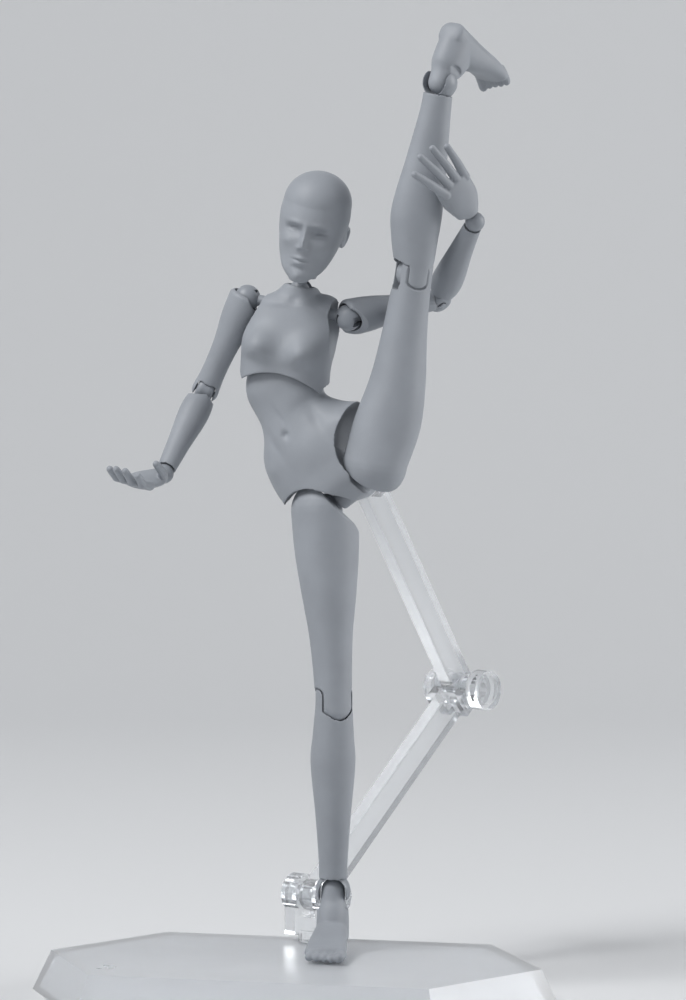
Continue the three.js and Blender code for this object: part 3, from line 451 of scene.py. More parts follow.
def shaded(mesh):
    """Smooth shading that keeps the plain edges of turned parts sharp."""
    mesh.shade_smooth()
    mesh.set_sharp_from_angle(angle=np.radians(SHARP_ANGLE))
    return mesh


SHOULDER_BALL, SHOULDER_PEG, ARM_POST, ARM_POST_END = 2.3, 4, 0.85, 8
HIP_BALL, HIP_PEG, LEG_POST, LEG_POST_END = 3, 3.2, 1.2, 12
BALL_JOINTS = [
    ("shoulder", "upper_arm", chest_frame, SHOULDER_BALL, SHOULDER_PEG, ARM_POST, ARM_POST_END),
    ("hip", "thigh", torso_frame, HIP_BALL, HIP_PEG, LEG_POST, LEG_POST_END),
]
for side, sign in SIDES.items():
    for part, limb, body, radius, peg, post, end in BALL_JOINTS:
        limb_up = axis_of(limbs[side][limb], 2)
        across = axis_of(body, 0)
        through = pin(f"{side}_{part}_spread", limb_up.cross(across))
        middle = spot(f"{side}_{part}_swing")
        ball_place = frame_of(middle, across, across.cross(through))
        eye_place = frame_of(middle, through.cross(limb_up), limb_up)
        fit(f"{side}_{part}_ball", shaded(slotted_ball(radius, -sign, peg)), ball_place)
        fit(f"{side}_{part}_link", shaded(eye_and_post(radius, post, end)), eye_place)

# %% [markdown]
# The lower torso is the hardest moulding: belly, flanks and pelvis in one skin, with
# two large round openings for the thighs and a domed top that the chest rides on.
# The opening beside the raised thigh is cut higher, because the thigh passes there,
# and a narrow web stays between the two openings.

# %% Lower torso
TORSO_HEIGHT = 21.5
HIP_SPACING = 13.8
WAIST_BALL, WAIST_POST, WAIST_POST_END = 3.6, 1.1, 11
WAIST_DOME = (6.9, 4.8, 6.9)
THIGH_ROOM, THIGH_ROOM_BACK = (7.3, 7.6, 7.5), 0.9
RAISED_WELL, RAISED_WELL_PLACE = 8, (8.3, -1, 3.6)
CROTCH_WEB = {-1: (0.6, 1.4), 1: (-1.4, 1.4)}
RAISED_SPREAD, RAISED_ROOM, RAISED_TAPER = 45, 7.7, 6
WEB_DEEP, WEB_TALL = 40, 60
HIP_BOSS, BOSS_SINK, BOSS_WALL = 1.9, 0.2, 0.7
SLOT_START, SLOT_END, SLOT_SIDE = 18, 110, 1.1
PEG_RADIUS, PEG_HEIGHT, BACK_DEPTH, PEG_DEPTH, PEG_HOLE = 1.5, 9, 5.6, 3.4, 12
torso_rows = [
    [-1.8, 4.4, 3.4, 4.4],
    [1.5, 11.7, 5.9, 7.2, 0.3],
    [6, 12.6, 6, 7, 0.4],
    [10, 11.5, 5.7, 5.7, -0.3],
    [13.2, 9, 5.2, 4.8, -1.7],
    [16.2, 6.8, 4.8, 4.5, -1.6],
    [18.6, 6.7, 4.8, 4.5, -0.6],
    [TORSO_HEIGHT, 6.8, 4.8, 4.6, -0.1],
]
belly_marks = [
    [-3.4, 14, 0.55, 0.7, -0.8],
    [-2.6, 17.4, 0.6, 2.6, -0.4],
    [-6.4, 13.6, 0.8, 3, -0.5],
    [2.6, 13, 0.9, 3, -0.4],
    [-1.6, 9.5, 4.2, 3.4, 0.5],
    [-9.6, 10.6, 1.5, 1.6, 0.4],
    [6.4, 10.4, 1.4, 1.4, 0.35],
]
spine_marks = [[-1.7, 15.6, 0.7, 5, -0.5], [0, 8, 0.8, 3, -0.5], [0, 2.6, 0.7, 2.4, -0.9]]


def raised_room(side):
    """A cone that opens outwards round the X axis, wide enough for a raised thigh at any swing."""
    slope = np.tan(np.radians(90 - RAISED_SPREAD - RAISED_TAPER))
    near = RAISED_ROOM * np.cos(np.radians(RAISED_SPREAD))
    near_radius = RAISED_ROOM * np.sin(np.radians(RAISED_SPREAD))
    reach = 20
    far_radius = near_radius + reach * slope
    low, high = (near_radius, far_radius) if side > 0 else (far_radius, near_radius)
    return rod("x", low, reach, (side * (reach / 2 - near), 0, 0), end_radius=high, around=96)


rooms, bosses, bores = [], [], []
for side in SIDES.values():
    hip = side * HIP_SPACING / 2
    end = HIP_SPACING / 2 - HIP_BALL - GAP
    low, high = CROTCH_WEB[side]
    web = block((high - low, WEB_DEEP, WEB_TALL), ((low + high) / 2, 0, 0))
    if side < 0:
        rooms.append(cut_and_joined(ball(1, (hip, THIGH_ROOM_BACK, 0), THIGH_ROOM, around=96), [web]))
    else:
        rooms.append(cut_and_joined(moved(raised_room(side), (hip, 0, 0)), [web]))
        rooms.append(cut_and_joined(ball(RAISED_WELL, RAISED_WELL_PLACE, around=96), [web]))
    bosses.append(rod("x", HIP_BOSS, end + BOSS_SINK, (side * end / 2, 0, 0)))
    hole = end - BOSS_WALL
    bores.append(rod("x", PEG_SHARE * HIP_BALL + BORE_PLAY, hole, (side * (BOSS_WALL + hole / 2), 0, 0)))

dome = ball(1, (0, 0, TORSO_HEIGHT), WAIST_DOME)
torso_form = pressed(loft(torso_rows, bottom=0.6, around=120, steps=90), belly_marks)
torso_skin = skinned(together([pressed(torso_form, spine_marks, facing=1), dome]), BODY_GRAIN, 6)
waist_middle = (0, 0, TORSO_HEIGHT)
post_sweep = fan("y", WAIST_DOME[0] + 1, SLOT_START, SLOT_END, 2 * (WAIST_POST + SLOT_SIDE))
socket = rod("y", PEG_RADIUS + BORE_PLAY, PEG_HOLE, (0, PEG_HOLE / 2 + BACK_DEPTH - PEG_DEPTH, PEG_HEIGHT))
waist_cuts = [ball(WAIST_BALL + GAP, waist_middle), moved(post_sweep, waist_middle)]
torso_open = cut_and_joined(torso_skin, [*waist_cuts, *rooms], bosses)
fit("lower_torso", carved(torso_open, [*bores, socket]), torso_frame)

# %% [markdown]
# The chest is a rib cage over an open bell. The bell rides on the dome of the lower
# torso, so its rim shows as a dark curved line across the belly. Rooms beside it let
# the arms swing down, and a ball of air at the top takes the neck.

# %% Chest
CHEST_HEIGHT, SHOULDER_SPACING, SHOULDER_HEIGHT = 17, 18.4, 13.9
NECK_BALL, ARM_ROOT = 2, 3.2
CHEST_CAVITY = (7.4, 5.4, 7.4)
CHEST_RIM, RIM_ARCH, RIM_RISE = -0.6, 11.8, 2.6
CREST_PLACE, CREST_BACK, CREST_ROOM = 7.4, 1.5, (2, 4.4, 2.6)
ARM_HANG = (2.8, -1, 12)
chest_rows = [
    [CHEST_RIM, 8, 5.9, 5.7, 0],
    [4.5, 8, 5.8, 5.8, -0.5],
    [8.5, 8.4, 5, 5.5, -0.5],
    [12, 8.4, 4.3, 5.2, 0],
    [14.4, 7, 3.6, 4.6],
    [16, 4.4, 2.9, 3.6],
    [CHEST_HEIGHT + 0.8, 2.9, 2.6, 2.9],
]
front_marks = both_sides([
    [2.2, 14.6, 1.6, 0.5, 0.2],
    [4.6, 14.2, 1.8, 0.5, 0.2],
])
front_marks += [[0, 15.4, 0.8, 0.7, -0.35], [-0.4, 2.6, 3, 1.4, -0.3]]
bust = [
    [-4.7, 7, 3, 2.7, 2.9],
    [3.9, 7, 2.8, 2.7, 2.9],
    [-4.7, 4, 3, 0.9, -0.3],
    [3.9, 4, 2.8, 0.9, -0.3],
]
raised_shoulder = ball(1, (4.4, 0.2, 14.4), (3.6, 3, 2.7))
back_marks = both_sides([[4.4, 10.4, 2.2, 2.8, 0.5]]) + [[0, 8.5, 0.7, 6, -0.6]]
chest_form = pressed(loft(chest_rows, around=120, steps=90), front_marks + bust)
chest_forms = [pressed(chest_form, back_marks, facing=1), raised_shoulder]
chest_skin = skinned(together(chest_forms), BODY_GRAIN, 12)
post_room = WAIST_POST_END + GAP
chest_cuts = [
    ball(1, (0, 0, 0), CHEST_CAVITY, around=96),
    rod("y", RIM_ARCH, 30, (0, 0, RIM_RISE - RIM_ARCH), around=160),
    rod("z", WAIST_POST + BORE_PLAY, post_room, (0, 0, post_room / 2)),
    ball(NECK_BALL + GAP, (0, 0, CHEST_HEIGHT)),
]
for side in SIDES.values():
    x = side * SHOULDER_SPACING / 2
    chest_cuts.append(ball(1, (side * CREST_PLACE, CREST_BACK, CHEST_RIM), CREST_ROOM))
    hanging = (x + side * ARM_HANG[0], ARM_HANG[1], SHOULDER_HEIGHT - ARM_HANG[2])
    chest_cuts.append(capsule(ARM_ROOT + 2 * GAP, (x, 0, SHOULDER_HEIGHT), hanging, ARM_ROOT - 0.1))
    peg_middle = (x - side * (SHOULDER_BALL + SHOULDER_PEG / 2), 0, SHOULDER_HEIGHT)
    chest_cuts.append(rod("x", PEG_SHARE * SHOULDER_BALL + BORE_PLAY, SHOULDER_PEG + 1, peg_middle))
fit("chest", carved(chest_skin, chest_cuts), chest_frame)

# %% [markdown]
# The waist ball and its eye hang upside down: the ball belongs to the lower torso and
# the post goes up into the chest. The neck is the same joint at a smaller size, with
# a plain round collar that looks like a throat.

# %% Waist and neck
QUARTER = Matrix.Rotation(np.pi / 2, 4, "Z")
lean_pin = pin("waist_lean", axis_of(torso_frame, 1))
bow_pin = pin("waist_bow", axis_of(torso_frame, 0))
waist_ball_frame = frame_of(spot("waist_lean"), bow_pin, bow_pin.cross(lean_pin))
waist_post_frame = frame_of(spot("waist_lean"), bow_pin, chest_up)
fit("waist_ball", shaded(slotted_ball(WAIST_BALL)), waist_ball_frame @ QUARTER @ UPSIDE_DOWN)
fit("waist_post", shaded(eye_and_post(WAIST_BALL, WAIST_POST, WAIST_POST_END)),
    waist_post_frame @ QUARTER @ UPSIDE_DOWN)

NECK_LENGTH, NECK_RADIUS, NECK_POST, HEAD_SINK = 7.6, 2.5, 1.2, 1.4
THROAT_FOOT, POST_FOOT = 2.2, 2.2
lean = pin("neck_lean", axis_of(chest_frame, 1))
neck_ball_frame = frame_of(spot("neck_nod"), axis_of(chest_frame, 0), axis_of(chest_frame, 0).cross(lean))
fit("neck_ball", shaded(slotted_ball(NECK_BALL)), neck_ball_frame @ UPSIDE_DOWN)
throat = [[2.5, THROAT_FOOT, THROAT_FOOT, THROAT_FOOT], [4, NECK_RADIUS, NECK_RADIUS, NECK_RADIUS],
          [NECK_LENGTH - HEAD_SINK, NECK_RADIUS, NECK_RADIUS, NECK_RADIUS]]
thick = 2 * (SLOT_SHARE * NECK_BALL - PIN_PLAY)
stem = (STEM_WIDE_SHARE * EYE_SHARE * NECK_BALL, thick, STEM_LONG_SHARE * NECK_BALL)
neck_parts = [rod("y", EYE_SHARE * NECK_BALL, thick),
              block(stem, (0, 0, STEM_LONG_SHARE / 2 * NECK_BALL)),
              rod("z", NECK_POST, NECK_LENGTH + 1, (0, 0, (NECK_LENGTH + 1) / 2 + POST_FOOT))]
neck_mesh = cut_and_joined(loft(throat, around=64), (), neck_parts)
neck_mesh = cut_and_joined(neck_mesh, [rod("y", PIN_SHARE * NECK_BALL + PIN_PLAY, 4)])
fit("neck_post", shaded(neck_mesh), neck_frame)

# %% [markdown]
# The head is a bald egg with a calm, simple face: shaded sockets, closed lids, a
# straight nose, a small mouth and rimmed ears. Sculpting by hand would not repeat, so
# every feature is one pressed mark on the egg and blends into the cheeks by itself.

# %% Head
CHIN = -5.4
HEAD_HEIGHT, HEAD_WIDTH, HEAD_DEPTH = 18.8, 12, 14.2
crown = HEAD_HEIGHT + CHIN
half_wide, half_deep = HEAD_WIDTH / 2, HEAD_DEPTH / 2
WIDEST, CRANIUM = 5.6, 7.9
head_rows = [
    [CHIN + 0.6, 1.7, 1.7, 1.8, 0, 5.3],
    [-3.2, 3.5, 3.5, 3.4, 0, 3.7],
    [-0.6, 4.7, 5.2, 5, 0, 2.1],
    [2.6, 5.5, 6.6, 6.4, 0, 0.7],
    [WIDEST, half_wide, half_deep, half_deep, 0, 0.2],
    [CRANIUM, 5.85, 6.8, 7],
]
face = both_sides([
    [2.2, 5, 1.6, 0.5, 0.4],
    [2.2, 3.7, 1.35, 0.85, -1.5],
    [2.3, 3.4, 0.85, 0.5, 0.6],
    [2.3, 3.05, 0.9, 0.14, -0.2],
    [0.75, 0.9, 0.36, 0.36, 0.5],
    [3.4, 1.6, 1.2, 0.9, 0.45],
    [3, -1.2, 1.2, 1.5, -0.45],
])
face += [
    [0, 3.4, 0.55, 1.3, 0.7],
    [0, 1.9, 0.6, 0.9, 0.95],
    [0, 1.15, 0.62, 0.5, 0.75],
    [0, -0.85, 1.1, 0.3, 0.4],
    [0, -1.28, 1.35, 0.15, -0.4],
    [0, -1.72, 0.9, 0.36, 0.45],
    [0, -2.6, 1.2, 0.4, -0.35],
    [0, -4, 1.2, 0.8, 0.5],
]
skull = pressed(loft(head_rows, top=crown - CRANIUM, bottom=0.6, around=220, steps=110, dome=40), face)
EAR, EAR_SIZE, EAR_RIM, EAR_TUCK = (5.45, 0.7, 2.9), (1.05, 1.65), 0.3, 0.25
ears = []
for side in SIDES.values():
    ears.append(ball(1, (side * EAR[0], EAR[1], EAR[2]), (0.42, EAR_SIZE[0], EAR_SIZE[1])))
    rim = []
    for t in np.radians(np.arange(-150, 181, 22)):
        out = EAR[0] + 0.22 + 0.25 * np.cos(t) + EAR_TUCK * np.sin(t)
        rim.append((side * out, EAR[1] + EAR_SIZE[0] * np.cos(t), EAR[2] + EAR_SIZE[1] * np.sin(t)))
    ears.extend(capsule(EAR_RIM, a, b) for a, b in zip(rim, rim[1:]))
head_skin = skinned(together([skull, *ears]), HEAD_GRAIN, 3)
COLLAR_ROOM, COLLAR_PLAY, NECK_HOLE, NECK_HOLE_MIDDLE = 8, 0.1, 5.4, 0.7
head_cuts = [
    rod("z", NECK_RADIUS + GAP, COLLAR_ROOM, (0, 0, -HEAD_SINK - COLLAR_ROOM / 2 + GAP + COLLAR_PLAY)),
    rod("z", NECK_POST + BORE_PLAY, NECK_HOLE, (0, 0, NECK_HOLE_MIDDLE)),
]
fit("head", carved(head_skin, head_cuts, grain=HEAD_RIM_GRAIN), head_frame)

# %% [markdown]
# An arm is two lofts with a ball above, a thick round disc at the elbow and a ball at
# the wrist. The disc swings on a pin between two walls of the upper arm, and the forearm
# turns on the disc's post. A round cup across the forearm's top shows the disc from the
# front. The left arm is slimmer at the elbow, because it lies beside the raised thigh.

# %% Arms
ELBOW_RADIUS, ELBOW_HALF, ELBOW_GAP, ELBOW_CUP, ELBOW_PIN = 2.1, 1.5, 0.2, 2.7, 0.5
ELBOW_ROUND = [[-1, 0.55], [-0.85, 0.86], [-0.5, 0.99], [0, 1], [0.5, 0.99], [0.85, 0.86], [1, 0.55]]
ARM_SLOPE, ARM_DOME = 0.6, 1.1
ARM_END = {"right": (2.35, 2.1), "left": (1.85, 1.85)}
FOREARM_POST, FOREARM_POST_END = 0.75, 7
WRIST_BALL, HAND_PEG, HAND_PEG_HOLE = 1.7, 0.6, 3
BEYOND = 20  # more than any limb is wide
ACROSS = 12  # more than any joint is wide


def sloped_cut(sideways, offset):
    """Everything beyond a plane that leans at 45 degrees over one shoulder of a limb."""
    leaning = Matrix.Rotation(sideways * np.pi / 4, 4, "Y")
    return moved(block((BEYOND, BEYOND, BEYOND), (0, 0, BEYOND / 2 + offset)), turn=leaning)


def bore(post_radius, post_end):
    """Hole for a round post that hangs down from a joint."""
    deep = post_end + GAP
    return rod("z", post_radius + BORE_PLAY, deep, (0, 0, -deep / 2))


def elbow_form(extra, place=(0, 0, 0)):
    """Thick disc round the elbow's pin, with well rounded rims."""
    rows = [[(ELBOW_HALF + extra) * x, *[(ELBOW_RADIUS + extra) * r] * 3] for x, r in ELBOW_ROUND]
    return moved(loft(rows, steps=36), place, UPRIGHT["x"])


def root_cuts(ball_radius, post_radius, post_end, inward, slope):
    return [ball(ball_radius + GAP), sloped_cut(inward, slope), bore(post_radius, post_end)]


for side, sign in SIDES.items():
    places = limbs[side]
    upper, lower = places["lengths"]["upper_arm"], places["lengths"]["forearm"]
    end_wide, low_wide = ARM_END[side]
    arm_rows = [
        [-upper, end_wide, 1.9, 1.9],
        [-upper + 4, low_wide, 2, 2],
        [-9, 2.3, 2.5, 2.5],
        [-4, 3, 3.1, 3.1],
        [0, ARM_ROOT, ARM_ROOT, ARM_ROOT],
    ]
    arm_skin = skinned(loft(arm_rows, top=ARM_DOME, bottom=ELBOW_RADIUS, around=80), LIMB_GRAIN, 3)
    pocket, wide = ELBOW_RADIUS + GAP, 2 * (ELBOW_HALF + ELBOW_GAP)
    slot = cut_and_joined(elbow_form(ELBOW_GAP, (0, 0, -upper)), (),
                          [block((wide, 2 * pocket, pocket), (0, 0, -upper - pocket / 2))])
    pin_rod = rod("x", ELBOW_PIN, 2 * ELBOW_HALF, (0, 0, -upper))
    arm_cuts = [*root_cuts(SHOULDER_BALL, ARM_POST, ARM_POST_END, -sign, ARM_SLOPE), slot]
    fit(f"{side}_upper_arm", carved(arm_skin, arm_cuts, [pin_rod], ARM_RIM_GRAIN), places["upper_arm"])

    post = rod("z", FOREARM_POST, FOREARM_POST_END - 1, (0, 0, -(FOREARM_POST_END + 1) / 2))
    elbow = cut_and_joined(elbow_form(0), (), [post])
    elbow = cut_and_joined(elbow, [rod("x", ELBOW_PIN + PIN_PLAY, 8)])
    fit(f"{side}_elbow_joint", shaded(elbow), places["elbow"])

    lower_rows = [
        [-lower + 0.4, 1.6, 1.5, 1.5],
        [-12, 2, 2.1, 2],
        [-7, 2.5, 2.6, 2.6],
        [-4, 2.6, 2.7, 2.7],
        [-1.4, 2.4, 2.15, 2.15],
    ]
    lower_skin = skinned(loft(lower_rows, top=0.8, around=80), LIMB_GRAIN, 3)
    lower_cuts = [rod("x", ELBOW_RADIUS + GAP, ACROSS), rod("y", ELBOW_CUP, ACROSS),
                  bore(FOREARM_POST, FOREARM_POST_END), ball(WRIST_BALL + GAP, (0, 0, -lower))]
    fit(f"{side}_forearm", carved(lower_skin, lower_cuts, grain=ARM_RIM_GRAIN), places["forearm"])

    wrist = cut_and_joined(ball(WRIST_BALL), [rod("z", HAND_PEG + BORE_PLAY, HAND_PEG_HOLE, (0, 0, -1.2))])
    fit(f"{side}_wrist_ball", shaded(wrist), places["wrist"])

# %% [markdown]
# A hand is one moulding: a flat palm, four fingers of two bones each and a thumb.
# The left hand lies flat on the raised shin with spread fingers, and the right one is
# open and bent. Fingers are counted from the forefinger to the little finger.

# %% Hands
PALM_LENGTH = 8.8
FINGER_LENGTHS = (7.2, 8.4, 7.8, 6.2)
FINGER_RADIUS, FINGER_TIP, FINGER_PITCH = 0.85, 0.6, 1.62
HAND_CURL = {"right": (16, 26), "left": (0, 8)}
HAND_SPREAD = {"right": (6, 2, -2, -7), "left": (24, 14, 7, 1)}
HAND_REACH = {"right": 0.86, "left": 1.1}
THUMB_OUT = {"right": 1.35, "left": 1.1}
THUMB_FORWARD = {"right": (-2, -4.2), "left": (-0.9, -1.2)}
KNUCKLE_RADIUS, THUMB_RADIUS, THUMB_KNUCKLE = 0.75, 0.95, 0.8
palm_rows = [
    [-PALM_LENGTH, 3.1, 0.9, 0.9],
    [-5, 3.2, 1.1, 1.1],
    [-3, 2.4, 1.2, 1.2],
    [-WRIST_BALL - 0.1, 1.5, 1.3, 1.3],
]


def bone(start, length, bend, aside):
    """Far end of a finger bone, bent forward and leaning sideways by two angles."""
    along = length * np.cos(aside)
    x, y, z = start
    return (x + length * np.sin(aside), y - along * np.sin(bend), z - along * np.cos(bend))


for side, sign in SIDES.items():
    lean, bend = (np.radians(a) for a in np.cumsum(HAND_CURL[side]))
    parts = [loft(palm_rows, steps=24, bottom=0.5, around=64)]
    for i, length in enumerate(FINGER_LENGTHS):
        x = -sign * (1.5 - i) * FINGER_PITCH
        start = (x, 0, -PALM_LENGTH + 0.6)
        aside = -sign * np.radians(HAND_SPREAD[side][i])
        half = length * HAND_REACH[side] / 2
        knuckle = bone(start, half, lean, aside)
        parts.append(capsule(FINGER_RADIUS, start, knuckle, KNUCKLE_RADIUS))
        parts.append(capsule(KNUCKLE_RADIUS, knuckle, bone(knuckle, half, bend, aside), FINGER_TIP))
    thumb, out = -sign * 2.4, THUMB_OUT[side]
    joint_forward, tip_forward = THUMB_FORWARD[side]
    thumb_joint = (thumb * out, joint_forward, -5.6)
    parts.append(capsule(THUMB_RADIUS, (thumb * 0.7, -0.2, -3), thumb_joint, THUMB_KNUCKLE))
    parts.append(capsule(THUMB_KNUCKLE, thumb_joint, (thumb * (out + 0.1), tip_forward, -8.6), FINGER_TIP))
    hand_skin = skinned(together(parts), HAND_GRAIN, 3)
    cup = cut_and_joined(ball(WRIST_BALL + GAP), [rod("z", HAND_PEG, 4)])
    hand = cut_and_joined(hand_skin, (), [rod("z", HAND_PEG, 2.6, (0, 0, -1.7))])
    fit(f"{side}_hand", carved(hand, [cup], grain=HAND_RIM_GRAIN), limbs[side]["hand"])

# %% [markdown]
# A leg is a long loft for the thigh and a shin with a calf behind it. The knee is the
# fine part: the thigh ends in a lens turned round the knee's pin and the shin leaves
# that lens free, so the seam between them is a shallow smile. Two cheeks of the shin
# lie beside the thigh's walls and keep the sides closed, straight or bent. At the ankle
# a round fork with an arched channel holds the collar of the foot.

# %% Legs
LEG_ROOTS = {"right": [[-7, 5.5, 5.5, 6.6], [0, 5.8, 5.8, 7.2]],
             "left": [[-7, 5.5, 4.9, 6.7], [0, 5.8, 4.6, 6.5, 0, -1.2]]}
KNEE_HALF, KNEE_PIN, KNEE_TONGUE, KNEE_WALL, KNEECAP_LENGTH = 3.2, 0.6, 1.3, 2.45, 4.8
KNEE_CHEEK, KNEE_SWEEP, KNEECAP_BACK, KNEE_LIFT = 2.3, 2.7, 1.7, 50
KNEE_SIDE_GAP, KNEE_TURNS = 0.2, 72
THIGH_SLOPE, THIGH_DOME = 0.9, 5.8
SCOOP_TURN, SCOOP_OFFSET = Vector((0.62, -0.45, 0.64)).to_track_quat("Z", "Y").to_matrix(), 2.7
LENS_EDGE = [[4.2, 1], [3.2, 1.3], [2.4, 2.3], [1.3, 3.5]]
KNEE_LENS = [[-x, radius] for x, radius in LENS_EDGE] + [[0, 3.95]] + LENS_EDGE[::-1]
ANKLE_BULB, ANKLE_CHANNEL, ANKLE_GAP = 3, 2.3, 0.2
ANKLE_POST, ANKLE_POST_END = 0.9, 7


def knee_lens(extra, place=(0, 0, 0)):
    """Lens that is turned round the knee's pin: the kneecap follows it and the shin leaves it free."""
    rows = [[x, *[radius + extra] * 3] for x, radius in KNEE_LENS]
    return moved(loft(rows, steps=48, around=96), place, UPRIGHT["x"])


for side, sign in SIDES.items():
    places = limbs[side]
    upper, lower = places["lengths"]["thigh"], places["lengths"]["shin"]
    thigh_rows = [
        [-upper - KNEECAP_LENGTH, KNEE_HALF, 3.3, 3.4],
        [-upper, KNEE_HALF, 3.3, 3.2],
        [-27.5, 3.35, 3.5, 3.6],
        [-21, 3.8, 4.1, 4.1],
        [-14.5, 4.7, 4.8, 4.9],
        *LEG_ROOTS[side],
    ]
    thigh_skin = skinned(loft(thigh_rows, top=THIGH_DOME, bottom=0.4, around=96, steps=60), BODY_GRAIN, 4)
    below_knee = block((BEYOND, BEYOND, ACROSS), (0, 0, -upper - ACROSS / 2))
    knee_end = cut_and_joined(below_knee, [knee_lens(0, (0, 0, -upper))])
    cheek_rooms = [rod("x", KNEE_CHEEK + GAP, 8, (end * (KNEE_WALL + 4), 0, -upper), around=KNEE_TURNS)
                   for end in (-1, 1)]
    top = KNEE_SWEEP + GAP
    slot_place = (0, ACROSS / 2 - KNEECAP_BACK, -upper + top / 2 - 4)
    slot = block((2 * (KNEE_TONGUE + GAP), ACROSS, top + 8), slot_place)
    knee_pin_rod = rod("x", KNEE_PIN, 2 * KNEE_WALL, (0, 0, -upper))
    root = root_cuts(HIP_BALL, LEG_POST, LEG_POST_END, -sign, THIGH_SLOPE)
    thigh_cuts = [*root, slot, knee_end, *cheek_rooms]
    if side == "right":
        scoop = block((BEYOND, BEYOND, BEYOND), (0, 0, BEYOND / 2 + SCOOP_OFFSET))
        thigh_cuts.append(moved(scoop, turn=SCOOP_TURN))
    fit(f"{side}_thigh", carved(thigh_skin, thigh_cuts, [knee_pin_rod]), places["thigh"])

    calf_rows = [[-6, 3.5, 3.4, 4.8], [-1, KNEE_HALF, 3.3, 3.4]]
    shin_rows = [
        [-lower + 1.2, 2.5, 2.4, 2.6],
        [-28, 2.5, 2.6, 2.8],
        [-20, 3, 3.1, 4],
        [-11, 3.8, 3.5, 5.4],
        *calf_rows,
    ]
    cheeks = loft([*calf_rows, [KNEE_CHEEK + 0.5, KNEE_HALF, 3.3, 3.4]], around=96)
    lobe = form_of(cut_and_joined(cheeks, within=[rod("x", KNEE_CHEEK, BEYOND, around=KNEE_TURNS)]))
    shin_form = loft(shin_rows, top=0.4, bottom=0.8, around=96, steps=60)
    shin_skin = skinned(together([shin_form, lobe]), LIMB_GRAIN, 5)
    between_cheeks = block((2 * (KNEE_WALL + KNEE_SIDE_GAP), BEYOND, BEYOND))
    knee_room = form_of(cut_and_joined(knee_lens(GAP), within=[between_cheeks]))
    tongue = [rod("x", KNEECAP_BACK - GAP, 2 * KNEE_TONGUE),
              fan("x", KNEE_SWEEP, -90, KNEE_LIFT, 2 * KNEE_TONGUE),
              block((2 * KNEE_TONGUE, 2.4, 5.6), (0, 0.2, -3.2))]
    deep = ANKLE_POST_END + GAP
    shin_cuts = [rod("x", KNEE_PIN + PIN_PLAY, 2 * (KNEE_WALL + GAP)),
                 ball(ANKLE_BULB + ANKLE_GAP, (0, 0, -lower), around=72),
                 rod("z", ANKLE_POST + BORE_PLAY, deep, (0, 0, -lower + deep / 2))]
    fit(f"{side}_shin", carved(cut_and_joined(shin_skin, [knee_room], tongue), shin_cuts), places["shin"])

    arch = rod("y", ANKLE_CHANNEL, ACROSS, around=72)
    channel = cut_and_joined(arch, (), [block((2 * ANKLE_CHANNEL, ACROSS, 8), (0, 0, -4))])
    post = rod("z", ANKLE_POST, ANKLE_POST_END - 2.6, (0, 0, (ANKLE_POST_END + 2.6) / 2))
    fork = cut_and_joined(cut_and_joined(ball(ANKLE_BULB, around=72), [channel]), (), [post])
    fit(f"{side}_ankle_joint", carved(fork, grain=HAND_GRAIN), places["ankle"])

# %% [markdown]
# The foot has a flat sole, a rounded heel, five small toes and a round-topped collar
# that rises into the arch of the ankle's fork. The toes of the raised foot bend up.

# %% Feet
ANKLE_HEIGHT, HEEL = 10.4, 2.4
TOE_BEND, TOE_RISE = 8, {"right": 0, "left": 0.035}
TOE_LENGTHS = (2.6, 2.4, 2, 1.7, 1.3)
COLLAR_HALF, CHEEK_ROOM = 2.05, 3.3
sole = -ANKLE_HEIGHT
foot_heights = [[-HEEL, 2.4, 4], [0, 2.7, 5.6], [4, 2.9, 5.4], [8.5, 3.4, 3.8], [12, 3.6, 2.5]]
foot_rows = [[along, wide, high / 2, high / 2, 0, -high / 2] for along, wide, high in foot_heights]
collar_rows = [[sole + 2, 2.8, 4.8, 3.4], [-5, 2.8, 4.3, 3.3], [-3, 2.6, 3.5, 3.1], [-1.6, 2.2, 2.5, 2.4],
               [0, COLLAR_HALF, COLLAR_HALF, COLLAR_HALF]]
LAID_DOWN = Matrix.Rotation(np.pi / 2, 4, "X")
for side, sign in SIDES.items():
    parts = [moved(loft(foot_rows, top=1, bottom=1, boxy=2.6, around=80), (0, 0, sole), LAID_DOWN),
             loft(collar_rows, top=COLLAR_HALF, around=64)]
    for i, length in enumerate(TOE_LENGTHS):
        x = -sign * (2.7 - i * 1.32)
        radius = 0.75 if i else 0.95
        level = sole + radius + 0.05
        parts.append(capsule(radius, (x, -11, level), (x, -12.4 - length, level)))
    points, faces = together(parts)
    points[:, 2] += TOE_RISE[side] * np.clip(-points[:, 1] - TOE_BEND, 0, None) ** 2
    foot_skin = skinned((points, faces), FOOT_GRAIN, 6)
    rooms = [rod("x", CHEEK_ROOM, 8, (end * (COLLAR_HALF + 4), 0, 0), around=72) for end in (-1, 1)]
    fit(f"{side}_foot", carved(foot_skin, rooms, grain=ARM_RIM_GRAIN), limbs[side]["foot"])

# %% [markdown]
# The figure is moulded in a cool mid grey with a fine dull surface, like spark-worn
# tooling leaves. A flat colour would look like clay on a screen, so a soft noise
# moves the grey by a few hundredths, and a much finer one gives the surface its tooth.

# %% Grey plastics
SKIN_GREY = (0.305, 0.325, 0.355)
JOINT_GREY = (0.28, 0.3, 0.33)
CLOUD_SCALE = 160
SHADE_STOPS = [(0.3, 0.94), (0.7, 1.04)]
GRAIN_SCALE, GRAIN_HEIGHT = 5200, 0.00004
ROUGH_SWING, SHINE = 0.06, 0.4
JOINT_ENDINGS = ("ball", "link", "joint", "post")


